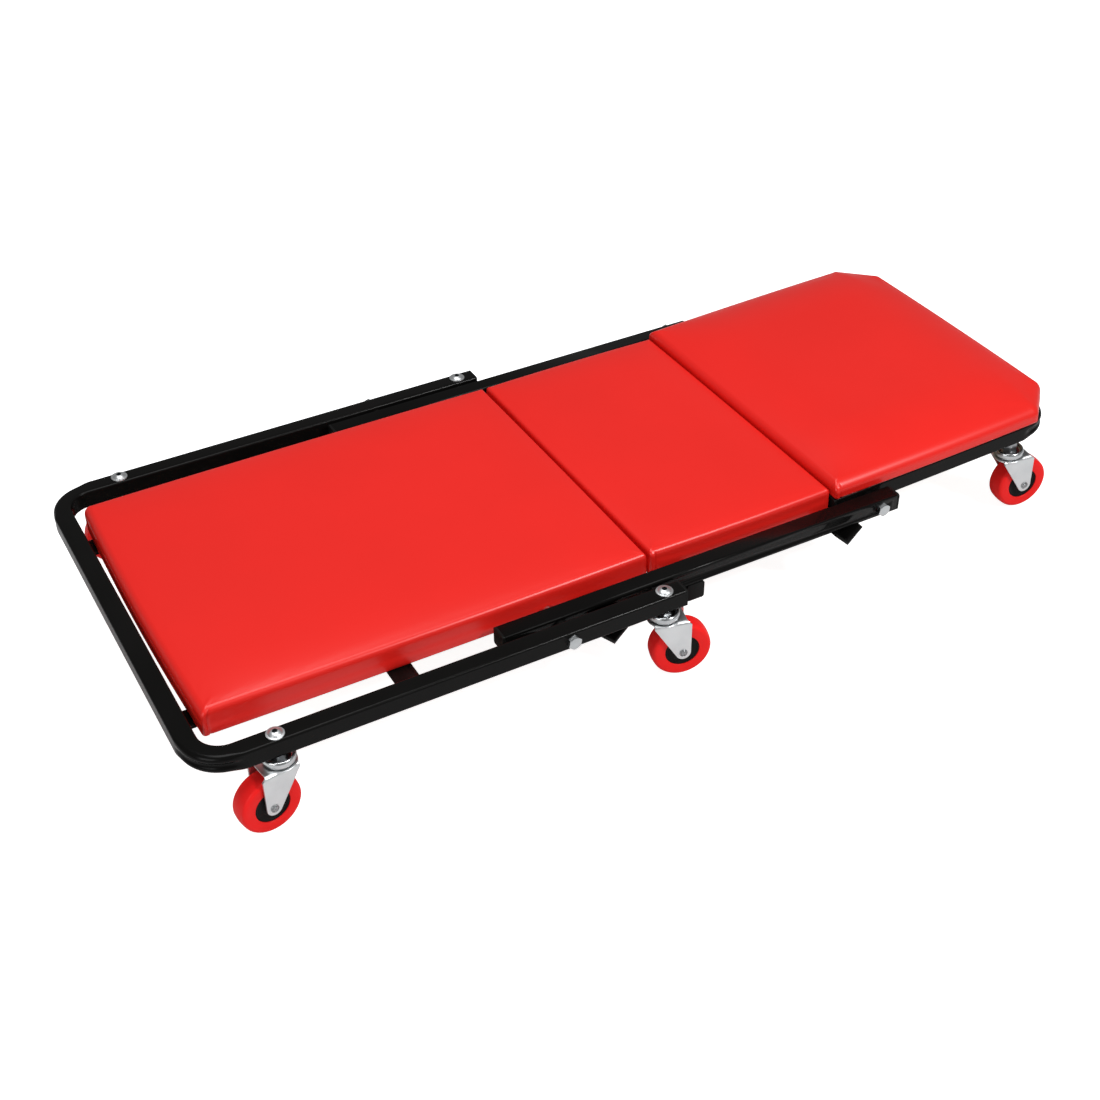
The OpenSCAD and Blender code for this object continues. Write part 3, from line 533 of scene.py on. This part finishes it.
class Cover:
    """The shape of one pad's cover: a grid over the top, with rings down the sides and under the hem.

    The crown rises within reach of the edges. The foot end, the head end and the sides each
    have their own bow, and their own shoulder, which is its drop and its width.
    """

    def __init__(self, ends, half_width, cut, side, crown, reach, bows, shoulders):
        self.ends, self.half_width, self.cut, self.side = ends, half_width, cut, side
        self.crown, self.reach, self.bows, self.shoulders = crown, reach, bows, shoulders
        self.xs, self.ys = marks(ends[1] - ends[0]), marks(2 * half_width)
        if cut:
            kink = ends[1] - ends[0] - cut
            self.xs[int(np.argmin(abs(self.xs - kink)))] = kink
        self.mid = (ends[0] + ends[1]) / 2
        self.half_length = (ends[1] - ends[0]) / 2
        self.rings = self.ring_steps()
        rows, columns = len(self.ys), len(self.xs)
        grid = np.arange(rows * columns).reshape(rows, columns)
        self.edge = np.concatenate([grid[0, :-1], grid[:-1, -1], grid[-1, :0:-1], grid[:0:-1, 0]])
        self.top, self.ring_start, self.count = grid, grid.size, len(self.edge)

    def plan(self):
        """Plan of the grid at the cover's widest: x, y, and the distances from the sides and the ends."""
        length, wide = self.ends[1] - self.ends[0], 2 * self.half_width
        dx, dy = np.meshgrid(self.xs, self.ys)
        across, along = dy / self.half_width - 1, dx / length
        x = (self.ends[0] - self.bows[0] * (1 - across ** 2)) * (1 - along) + (
            self.ends[1] + self.bows[1] * (1 - across ** 2)) * along
        narrow = np.maximum(0, dx - (length - self.cut)) if self.cut else 0
        y = across * (self.half_width + self.bows[2] * (1 - (2 * along - 1) ** 2) - narrow)
        from_side = np.minimum(dy, wide - dy)
        from_end = np.minimum(dx, length - dx)
        near = (from_side < corner_round) & (from_end < corner_round)
        a, b = (np.clip(1 - away / corner_round, 0, 1) for away in (from_end, from_side))
        shift_x = (a - a * np.sqrt(1 - b * b / 2)) * corner_round * near
        shift_y = (b - b * np.sqrt(1 - a * a / 2)) * corner_round * near
        x = x + np.where(dx < length / 2, shift_x, -shift_x)
        y = y + np.where(dy < wide / 2, shift_y, -shift_y)
        return x, y, from_side, from_end

    def drawn(self, x, y, insets):
        """Draws points in towards the middle, by the insets of the foot end, the head end and the sides."""
        foot, head, sides = insets
        ends = np.where(x < self.mid, foot, head)
        return self.mid + (x - self.mid) * (1 - ends / self.half_length), y * (1 - sides / self.half_width)

    def insets(self, height):
        """How far the rounded shoulders and the belly draw the foot end, the head end and the sides in."""
        out = []
        for drop, width in self.shoulders:
            top = atan2(drop, width * rise_power * self.crown / self.reach)
            lean = asin(min(1, max(0, (height - self.side) / drop + sin(top))))
            out.append(width * (1 - cos(lean)) + belly * (2 * height / self.side - 0.95) ** 2)
        return np.array(out)

    def ring_steps(self):
        """Rings from the shoulder down, under the hem and round the board: (height, insets)."""
        drop = min(drop for drop, _ in self.shoulders)
        over = [self.side - drop * (1 - sin(a)) for a in np.linspace(1.42, 0.3, 9)]
        down = list(np.linspace(over[-1], 0.16 * self.side, 12)[1:])
        tuck = [(2.6, 0.5), (1.3, 0.95), (0.4, 1.7), (0, 3.4)]
        hem = [(0, 6), (0, 12), (0, 18), (0, hem_width - 0.4), (0.4, hem_width), (hem_thick, hem_width)]
        pocket = [(hem_thick, 14), (hem_thick, cover_wrap), (board_thick, cover_wrap)]
        return [(z, self.insets(z)) for z in over + down] + [
            (z, np.full(3, inset)) for z, inset in tuck + hem + pocket]

    def build(self, slack):
        """Points and faces, a little smaller than the finished pad by slack."""
        x, y, from_side, from_end = self.plan()
        rise_side = 1 - (1 - np.minimum(1, from_side / self.reach)) ** rise_power
        rise_end = 1 - (1 - np.minimum(1, from_end / self.reach)) ** rise_power
        top_x, top_y = self.drawn(x, y, self.insets(self.side) + slack)
        top_z = self.side + (self.crown - 1.6 * slack) * rise_side * rise_end
        points = [np.stack([top_x, top_y, top_z], -1).reshape(-1, 3)]
        edge_x, edge_y = x.reshape(-1)[self.edge], y.reshape(-1)[self.edge]
        for height, insets in self.rings:
            above_hem = min(1, max(0, (height - 3) / 8))
            ring_x, ring_y = self.drawn(edge_x, edge_y, insets + slack * above_hem)
            points.append(np.stack([ring_x, ring_y, np.full_like(ring_x, height)], -1))
        grid = self.top
        squares = [grid[:-1, :-1], grid[:-1, 1:], grid[1:, 1:], grid[1:, :-1]]
        faces = np.stack(squares, -1).reshape(-1, 4).tolist()
        around = np.arange(self.count) + self.ring_start
        rings = [self.edge] + [around + k * self.count for k in range(len(self.rings))]
        for high, low in zip(rings, rings[1:]):
            faces += np.stack([high, low, np.roll(low, -1), np.roll(high, -1)], -1).tolist()
        faces.append(rings[-1].tolist())
        return np.concatenate(points), faces

    def foot_end_height(self, index):
        """Height of a point on the foot end's face, or None where it isn't on it."""
        ring, at = divmod(index - self.ring_start, self.count)
        if index < self.ring_start or self.edge[at] % len(self.xs):
            return None
        return self.rings[ring][0] or None

    def pleated(self, points):
        """Lays the folded flap over each corner: on the sides at the foot end, on the end at the other."""
        length, wide = self.ends[1] - self.ends[0], 2 * self.half_width
        x0, y0 = np.meshgrid(self.xs, self.ys)
        dx, dy = x0.reshape(-1)[self.edge], y0.reshape(-1)[self.edge]
        flap_top = self.side - 0.27 * self.shoulders[2][0]
        for k, (height, _) in enumerate(self.rings):
            ring = points[self.ring_start + k * self.count:][:self.count]
            fade = min(1, max(0, (flap_top - height) / pleat_fade)) * (height > 0)
            for i in range(self.count):
                from_side = min(dy[i], wide - dy[i])
                on_side = from_side == 0 and dx[i] < flap_reach
                on_end = dx[i] == length and from_side < flap_reach and not self.cut
                if not fade or not (on_side or on_end):
                    continue
                away = dx[i] if on_side else from_side
                rise = pleat_out * min(1, away / 2) if away < pleat_at else 0
                crease = abs(away - pleat_at - crease_at) / crease_half
                sink = pleat_in * max(0, 1 - crease) if away > pleat_at else 0
                move = (rise - sink) * fade
                if on_side:
                    ring[i, 1] += move if dy[i] else -move
                else:
                    ring[i, 0] += move
        return points


def plumped(piece, held):
    """Lets the foam push the tight cover out, no point further than the swell."""
    rest = np.empty(len(piece.data.vertices) * 3, np.float32)
    piece.data.vertices.foreach_get("co", rest)
    rest = rest.reshape(-1, 3)
    group = piece.vertex_groups.new(name="stapled")
    group.add(held, 1.0, "REPLACE")
    cloth = piece.modifiers.new("cover", "CLOTH").settings
    cloth.vertex_group_mass = group.name
    cloth.use_pressure, cloth.uniform_pressure_force = True, foam_push
    cloth.effector_weights.gravity = 0
    cloth.tension_stiffness = cloth.compression_stiffness = 25
    cloth.shear_stiffness = 10
    cloth.bending_stiffness = 6
    for moment in range(1, cloth_steps + 1):
        bpy.context.scene.frame_set(moment)
    worked = piece.evaluated_get(bpy.context.evaluated_depsgraph_get())
    moved = np.empty(len(rest) * 3, np.float32)
    worked.data.vertices.foreach_get("co", moved)
    step = moved.reshape(-1, 3) - rest
    far = np.linalg.norm(step, axis=1)[:, None]
    cap = swell / 1000
    piece.modifiers.clear()
    piece.vertex_groups.clear()
    bpy.context.scene.frame_set(1)
    return rest + step * (cap * np.tanh(far / cap) / np.maximum(far, 1e-9))


def pad_cover(name, node_name, body, place, cover, matt_painted_lighter_below=0):
    """Makes a cover, swells it and folds its corners; below this height its foot end is matt, and its red is
    painted lighter as painted light.
    """
    slack = cover_slack
    points, faces = cover.build(slack)
    back = place.inverted()
    piece = loose_piece(name, [(points.tolist(), faces, place)])
    if slack:
        board_rings = len(points) - 2 * cover.count
        held = [i for i, p in enumerate(points) if p[2] < held_below or i >= board_rings]
        points = np.array([back @ Vector(p) for p in plumped(piece, held)])
    points = cover.pleated(points)
    piece.data.vertices.foreach_set("co", np.array([place @ Vector(p) for p in points], np.float32).ravel())
    piece.data.update()
    fitted(piece, body, red_vinyl, [node_name], sharp=55)
    # Faces low on the foot end take the matt vinyl, with its red painted lighter as painted light
    if matt_painted_lighter_below:
        piece.data.materials.append(matt_vinyl_painted_lighter)
        for face in piece.data.polygons:
            heights = [cover.foot_end_height(i) for i in face.vertices]
            if all(at is not None and at < matt_painted_lighter_below for at in heights):
                face.material_index = 1


# Where two pads meet, the covers are a little longer than the pads' solids, and nearly touch
foot_cover = Cover((foot_pad[0], foot_pad[1] + 0.6), pad_half_width, cut=0, side=31, crown=4, reach=70,
                   bows=(4, 0.75, 1.5), shoulders=((12, 9), (4.5, 3.2), (6.2, 5.6)))
mid_cover = Cover((mid_pad[0] - 0.6, mid_pad[1] + 1.1), pad_half_width, cut=0, side=31, crown=4, reach=60,
                  bows=(0.75, 0.75, 1.5), shoulders=((4.5, 3.2), (4.5, 3.2), (6.2, 5.6)))
head_cover = Cover((head_pad[0] - 1.2, head_pad[1]), head_pad_half_width, head_pad_cut, side=20, crown=13,
                   reach=95, bows=(0, 1.5, 1.5), shoulders=((10, 9), (8, 7), (13, 16)))
# The foot pad's foot end has no shine low down, where it would mirror the white floor, and its red is painted
# lighter there: painted light on a face that lies in the rail's shade
pad_cover("foot_cushion", "foot_pad_cushion", "foot_frame", pads_down, foot_cover, matt_painted_lighter_below=21.4)
pad_cover("mid_cushion", "mid_pad_cushion", "mid_frame", pads_down, mid_cover)
pad_cover("head_cushion", "head_pad_cushion", "head_frame", head_pads_down, head_cover)

# Staples
# Bright zinc plated wire, shot up through the turned hem of each cover into its board,
# in a row along every side.

zinc_plate = surface_group("zinc_plate", cloud_size=0.02, grain_size=0.0009, grain_kind="noise")
bright_zinc = surface("bright_zinc", zinc_plate, (0.64, 0.66, 0.67), (0.54, 0.56, 0.575),
                      rough=0.2, uneven=0.05, depth=0.01, Metallic=1.0)
staple_length, staple_wire, staple_pitch = 10, 0.8, 42
staple_inset, staple_margin, staple_skew = 17, 10, 0.12


def hem_staples(name, cover, place, body):
    """The staples of one cover, each a little askew."""
    x0, x1 = cover.ends[0] + staple_inset, cover.ends[1] - staple_inset
    y = cover.half_width - staple_inset
    runs = [((x0, -y), (x1 - cover.cut, -y)), ((x0, y), (x1 - cover.cut, y)),
            ((x0, -y), (x0, y)), ((x1, -y + cover.cut), (x1, y - cover.cut))]
    half, wire = staple_length / 2, staple_wire / 2
    outline = [(-half, 0.6), (-half, -0.3), (-half + 0.5, -wire * 1.7), (half - 0.5, -wire * 1.7),
               (half, -0.3), (half, 0.6), (half - 0.7, 0.6), (half - 0.8, 0), (-half + 0.8, 0),
               (-half + 0.7, 0.6)]
    n = len(outline)
    points = [(u, -wire, v) for u, v in outline] + [(u, wire, v) for u, v in outline]
    faces = [list(range(n)), list(range(2 * n - 1, n - 1, -1))]
    faces += [(i, (i + 1) % n, n + (i + 1) % n, n + i) for i in range(n)]
    parts = []
    for (ax, ay), (bx, by) in runs:
        length, turn = hypot(bx - ax, by - ay), atan2(by - ay, bx - ax)
        spread = length - 2 * staple_margin
        count = int(spread / staple_pitch)
        for k in range(count + 1):
            share = (staple_margin + spread * k / count) / length
            middle = Matrix.Translation((ax + (bx - ax) * share, ay + (by - ay) * share, 0))
            askew = Matrix.Rotation(turn + staple_skew * sin(7 * k + ax), 4, "Z")
            parts.append((points, faces, place @ middle @ askew))
    fitted(loose_piece(name, parts), body, bright_zinc)


hem_staples("foot_staples", foot_cover, pads_down, "foot_frame")
hem_staples("mid_staples", mid_cover, pads_down, "mid_frame")
hem_staples("head_staples", head_cover, head_pads_down, "head_frame")

# Pad screws
# Countersunk zinc plated screws, driven up into the boards from below, through the tabs,
# the bar, the cross tube and the head rail.

for name in ("foot_pad_screws", "mid_pad_screws", "head_pad_screws"):
    dressed(name, bright_zinc, ease=0.3)

# Fold bolts
# A zinc plated hexagon bolt on each side of each fold, from the outer rail inwards, with a
# spacer between the rails and a thin lock nut on its inner end.

bolt_hex, bolt_head, nut_height, bolt_d = 13, 5.3, 5, 8
side_gap, nut_gap, nut_play = 6, 0.3, 0.08
tip_past_nut, tip_chamfer, in_head = 0.5, 0.8, 0.2
hex_turn = radians(11)
mid_half_width = foot_half_width - tube - side_gap


def hexagon(width, low, high, chamfer_low, bore=0):
    """A hexagon head or nut with its corners turned down to a chamfer; bore is a radius."""
    steps = 72
    chamfer_r, face_r, slope = 0.48 * width, 0.475 * width, 0.58

    def ring(z, chamfered, up):
        out = []
        for i in range(steps):
            a = 2 * pi * i / steps
            r = width / 2 / cos((a + pi / 6) % (pi / 3) - pi / 6)
            drop = max(0, r - chamfer_r) * slope if chamfered else 0
            out.append((r * cos(a), r * sin(a), z - up * drop))
        return out

    def circle(r, z):
        return [(r * cos(2 * pi * i / steps), r * sin(2 * pi * i / steps), z) for i in range(steps)]
    rings = [circle(face_r, low)] if chamfer_low else []
    rings += [ring(low, chamfer_low, -1), ring(high, True, 1), circle(face_r, high)]
    if bore:
        rings += [circle(bore + 0.5, high), circle(bore, high - 0.5)]
        rings += [circle(bore, low + 0.5), circle(bore + 0.5, low)]
    points = [p for r in rings for p in r]
    count = len(rings)
    faces = []
    for k in range(count if bore else count - 1):
        here, above = k * steps, ((k + 1) % count) * steps
        for i in range(steps):
            j = (i + 1) % steps
            faces.append((here + i, here + j, above + j, above + i))
    if not bore:
        faces += [list(range(steps)), list(range((count - 1) * steps, count * steps))]
    return points, faces


nut_at = 2 * tube + side_gap + nut_gap
tip = nut_at + nut_height + tip_past_nut
shank = [(0, in_head), (bolt_d / 2, in_head), (bolt_d / 2, tip - tip_chamfer),
         (bolt_d / 2 - tip_chamfer, tip), (0, tip)]
for name, x, outer in (("fold_1", fold_1_x, foot_half_width), ("fold_2", fold_2_x, mid_half_width)):
    bolts, nuts = [], []
    for side in (Matrix(), far_side):
        at = on_stand @ side @ Matrix.Translation((x, -outer, fold_z)) @ Matrix.Rotation(-pi / 2, 4, "X")
        out = at @ Matrix.Scale(-1, 4, (0, 0, 1)) @ Matrix.Rotation(hex_turn, 4, "Z")
        bolts += [(*hexagon(bolt_hex, 0, bolt_head, chamfer_low=False), out), (*turned(shank), at)]
        nuts.append((*hexagon(bolt_hex, 0, nut_height, chamfer_low=True, bore=bolt_d / 2 + nut_play),
                     at @ Matrix.Translation((0, 0, nut_at))))
    body = frame["nodes"][name + "_bolts"]["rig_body"]
    fitted(loose_piece(name + "_hex_bolts", bolts), body, bright_zinc, [name + "_bolts"], sharp=22)
    body = frame["nodes"][name + "_nuts"]["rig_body"]
    fitted(loose_piece(name + "_lock_nuts", nuts), body, bright_zinc, [name + "_nuts"], sharp=22)
    dressed(name + "_spacers", black_steel, ease=0.4)

# Caster bolts, king pins, cups and balls
# A flanged button bolt clamps each king pin's hexagon to the tube; under it a pressed cup
# with a rolled rim rides on a ring of steel balls.

trail, wheel_r = 17.6, 31.5
caster_drop = frame_top - tube - wheel_r
swivels = {"foot": 188.7, "waist": -14.1, "head": -6.3}
head_axle_x = caster_3_x + trail * cos(radians(swivels["head"]))
head_extra = (fold_z - wheel_r + head_axle_x * sin(head_tilt)) / cos(head_tilt) - tube / 2 - caster_drop
seats = {"foot": on_stand @ Matrix.Translation((caster_1_x, -foot_leg_y, frame_top - tube)),
         "waist": on_stand @ Matrix.Translation((caster_2_x, -foot_leg_y, frame_top - tube)),
         "head": on_head @ Matrix.Translation((caster_3_x, -head_leg_y, -tube / 2 - head_extra))}

satin_zinc = surface("satin_zinc", zinc_plate, (0.78, 0.8, 0.81), (0.71, 0.73, 0.742),
                     rough=0.36, uneven=0.06, depth=0.01, Metallic=1.0)
dark_zinc = surface("dark_zinc", zinc_plate, (0.42, 0.43, 0.44), (0.32, 0.33, 0.34),
                    rough=0.29, uneven=0.06, depth=0.01, Metallic=1.0)
# Near black zinc for the bolt sockets: partly the socket's black oxide, partly painted shade in the hollow
socket_oxide_and_shade = surface("socket_oxide_and_shade", zinc_plate, (0.012, 0.016, 0.018), (0.008, 0.01, 0.012),
                       rough=0.4, uneven=0.1, depth=0.01, Specular_IOR_Level=0.3)
for frame_name in ("foot", "head"):
    dressed(frame_name + "_caster_bolts", satin_zinc, ease=0.25)
    dressed(frame_name + "_king_pins", dark_zinc, ease=0.35)
    dressed(frame_name + "_swivel_balls", bright_zinc, ease=0)

# From the bore up the floor's top, round the rolled rim, down the bellied wall and back under the floor
cup = [(6.3, -7.7), (6.3, -6.25), (11.4, -6.25), (12.3, -5.9), (12.7, -5.0), (12.9, -3.7), (13.2, -2.8),
       (13.7, -2.35), (14.3, -2.3), (14.9, -2.55), (15.45, -3.1), (15.85, -3.9), (16.15, -4.8), (16.3, -5.9),
       (16.3, -7.0), (16.15, -8.0), (15.85, -8.9), (15.45, -9.6), (15.0, -10.2), (14.8, -10.7), (14.5, -11.0),
       (14.1, -11.0), (13.9, -10.7), (14.0, -10.1), (14.2, -9.3), (14.1, -8.5), (13.5, -7.9), (12.6, -7.75)]
# A thin dark lining sits in each bolt's hex socket: a dark sheet that stands for the socket's oxide and for
# painted shade in its hollow
socket_r, socket_depth, head_top = 2.87, 2.5, 4.4
lining_wall, lining_top, lining_floor = 0.2, -0.25, 0.2 - socket_depth
lining = [(0, -socket_depth), (socket_r, -socket_depth), (socket_r, lining_top),
          (socket_r - lining_wall, lining_top), (socket_r - lining_wall, lining_floor), (0, lining_floor)]
for frame_name, rows in (("foot", ("foot", "waist")), ("head", ("head",))):
    places = [side @ seats[row] for row in rows for side in (Matrix(), far_side)]
    body = frame["nodes"][frame_name + "_cups"]["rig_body"]
    cups = [(*turned(cup, steps=72, closed=True), at) for at in places]
    fitted(loose_piece(frame_name + "_pressed_cups", cups), body, bright_zinc,
           [frame_name + "_cups"], sharp=60)
    drop = head_extra if frame_name == "head" else 0
    raised = Matrix.Translation((0, 0, drop + tube + head_top))
    linings = [(*turned(lining, steps=6), at @ raised) for at in places]
    fitted(loose_piece(frame_name + "_socket_shade_linings", linings), frame_name + "_frame", socket_oxide_and_shade,
           sharp=30)

# Forks
# Pressed zinc plated steel: a flat hood with a ball race on it, bent down at both sides
# into tapered legs with round tips.

fork_width, fork_sheet, plate_drop = 29, 2.2, 11.8
leg_round, leg_front, leg_square, fold_round = 7.8, 13, 4, 3.0


def eased(profile, by):
    """Rounds each corner of a closed profile a little."""
    out, count = [], len(profile)
    for i in range(count):
        here, before, after = (Vector(profile[k % count]) for k in (i, i - 1, i + 1))
        a, b = here + (before - here).normalized() * by, here + (after - here).normalized() * by
        out += [tuple(a), tuple((a + b + 2 * here) / 4), tuple(b)]
    return out


def leg_edges(z):
    """Front and back edge of a fork's leg at a height."""
    start, tip = (-leg_front, -plate_drop - leg_square), (trail, -caster_drop)
    run = (tip[0] - start[0], tip[1] - start[1])
    touch = atan2(run[1], run[0]) + pi + acos(leg_round / hypot(*run))
    low = (tip[0] + leg_round * cos(touch), tip[1] + leg_round * sin(touch))
    chord = sqrt(max(0, leg_round ** 2 - (z - tip[1]) ** 2))
    if z < low[1]:
        front = tip[0] - chord
    else:
        front = start[0] + (low[0] - start[0]) * min(1, max(0, (z - start[1]) / (low[1] - start[1])))
    back = tip[0] + (chord if z < tip[1] else leg_round)
    return front, back


def fork_sheet_form():
    """The fork's middle surface, from one leg's tip over the hood to the other's."""
    columns = 14
    y_leg, z_hood = fork_width / 2 - fork_sheet / 2, -plate_drop - fork_sheet / 2
    legs = [-caster_drop - leg_round * sin(radians(a)) for a in (87, 78, 66, 54, 40, 24, 8)]
    legs += list(np.linspace(-caster_drop, z_hood - fold_round - 1, 9))
    rows = [((-y_leg, z), leg_edges(z)) for z in legs]
    hood_back = trail + leg_round - leg_square
    for a in np.linspace(0, 90, 7):
        y = -y_leg + fold_round * (1 - cos(radians(a)))
        z = z_hood - fold_round * (1 - sin(radians(a)))
        rows.append(((y, z), (-leg_front, hood_back + leg_square * (1 - a / 90) ** 1.5)))
    rows += [((y, z_hood), (-leg_front, hood_back)) for y in (-7, -3.5)]
    rows = rows + [((0, z_hood), (-leg_front, hood_back))] + [((-y, z), e) for (y, z), e in reversed(rows)]
    points = [(front + (back - front) * k / columns, y, z)
              for (y, z), (front, back) in rows for k in range(columns + 1)]
    wide = columns + 1
    faces = []
    for r in range(len(rows) - 1):
        for a in range(r * wide, r * wide + columns):
            faces.append((a, a + 1, a + wide + 1, a + wide))
    return points, faces


race_top = -plate_drop
race = [(6.2, race_top - fork_sheet), (16.4, race_top - fork_sheet), (17, race_top - 1.5),
        (17, race_top - 0.7), (16.4, race_top), (13.6, race_top), (12.7, race_top - 0.45),
        (9.4, race_top - 0.45), (8.6, race_top), (6.2, race_top)]
casters = {}
for where, seat in seats.items():
    base = seat @ Matrix.Rotation(radians(swivels[where]), 4, "Z")
    casters[where + "_near"] = base
    casters[where + "_far"] = far_side @ base

for name, at in casters.items():
    fork = loose_piece(name + "_pressed_fork", [(*fork_sheet_form(), at)])
    sheet = fork.modifiers.new("sheet", "SOLIDIFY")
    sheet.thickness, sheet.offset, sheet.use_even_offset = fork_sheet / 1000, 0, True
    rim = fork.modifiers.new("rim", "BEVEL")
    rim.width, rim.segments, rim.limit_method, rim.angle_limit = 0.0003, 2, "ANGLE", radians(60)
    settled(fork)
    ring = loose_piece("race", [(*turned(eased(race, by=0.2), steps=72, closed=True), at)])
    form = bmesh.new()
    form.from_mesh(fork.data)
    form.from_mesh(ring.data)
    form.to_mesh(fork.data)
    form.free()
    bpy.data.objects.remove(ring)
    fitted(fork, name + "_caster", satin_zinc, [name + "_fork"], sharp=40)

# Axles
# Steel rivets through fork and wheel, with a dull zinc plate. Both ends are headed over,
# and the tool leaves a small dimple in each head.

rivet_r, rivet_h, axle_r = 4.2, 1.3, 3
rivet_start = fork_width / 2 + 0.1
rivet_end = [(axle_r, 0), (rivet_r - 0.25, 0), (rivet_r, 0.2), (rivet_r, 0.55), (rivet_r - 0.25, 0.8),
             (3.5, 0.85), (3.3, 0.7), (3.1, 0.15), (2.75, 0.1), (2.6, 0.7), (2.3, 1.15), (1.6, rivet_h),
             (1.1, rivet_h - 0.05), (0.8, 0.95), (0.4, 0.85), (0, 0.85)]
rivet_end = [(r, rivet_start + z) for r, z in rivet_end]
axle_profile = [(r, -z) for r, z in reversed(rivet_end)] + rivet_end
axle_places = {}
for name, at in casters.items():
    axle_places[name] = at @ Matrix.Translation((trail, 0, -caster_drop)) @ Matrix.Rotation(pi / 2, 4, "X")
    body = frame["nodes"][name + "_axle"]["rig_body"]
    rivet = loose_piece(name + "_rivet", [(*turned(axle_profile, steps=40), axle_places[name])])
    fitted(rivet, body, dark_zinc, [name + "_axle"], sharp=50)

# Wheels
# A black moulded core runs on the axle; a red tyre with a crowned tread and round
# shoulders is moulded onto it.

wheel_half, rim_r, hub_r, axle_play = 11.2, 18, 8, 0.08
hub_half = fork_width / 2 - fork_sheet - 0.3
core_face = wheel_half - 1.2
core_dish = core_face - 0.5
core_half = [(rim_r, core_face), (16, core_face), (15.6, core_dish), (10.6, core_dish), (10.2, core_face),
             (hub_r + 0.3, core_face), (hub_r, hub_half), (axle_r + axle_play, hub_half)]
core = [(r, -y) for r, y in reversed(core_half)] + core_half
shoulder, crown_drop = 4.2, 0.6
tyre_half = [(rim_r, wheel_half - 0.5), (rim_r + 0.4, wheel_half - 0.1), (rim_r + 2.2, wheel_half - 0.1),
             (rim_r + 2.5, wheel_half), (wheel_r - crown_drop - shoulder, wheel_half)]
tyre_half += [(wheel_r - crown_drop - shoulder * (1 - sin(a)), wheel_half - shoulder * (1 - cos(a)))
              for a in np.linspace(0.15, pi / 2 - 0.1, 10)]
tyre_half += [(wheel_r - crown_drop * (y / (wheel_half - shoulder)) ** 2, y) for y in (6.2, 4.2, 2.1)]
tyre = tyre_half + [(wheel_r, 0.0)] + [(r, -y) for r, y in reversed(tyre_half)]

rubber = surface_group("tread_rubber", cloud_size=0.02, grain_size=0.0012, grain_kind="noise")
red_tread = surface("red_tread", rubber, (0.9, 0.017, 0.016), (0.84, 0.0155, 0.0145),
                    rough=0.34, uneven=0.06, depth=0.012, Specular_IOR_Level=0.1)
for name, at in axle_places.items():
    body = frame["nodes"][name + "_core"]["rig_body"]
    moulding = loose_piece(name + "_wheel_core", [(*turned(eased(core, by=0.2), steps=72, closed=True), at)])
    fitted(moulding, body, black_plastic, [name + "_core"], sharp=40)
    fitted(loose_piece(name + "_red_tyre", [(*turned(tyre, steps=96, closed=True), at)]), body,
           red_tread, [name + "_tyre"], sharp=40)
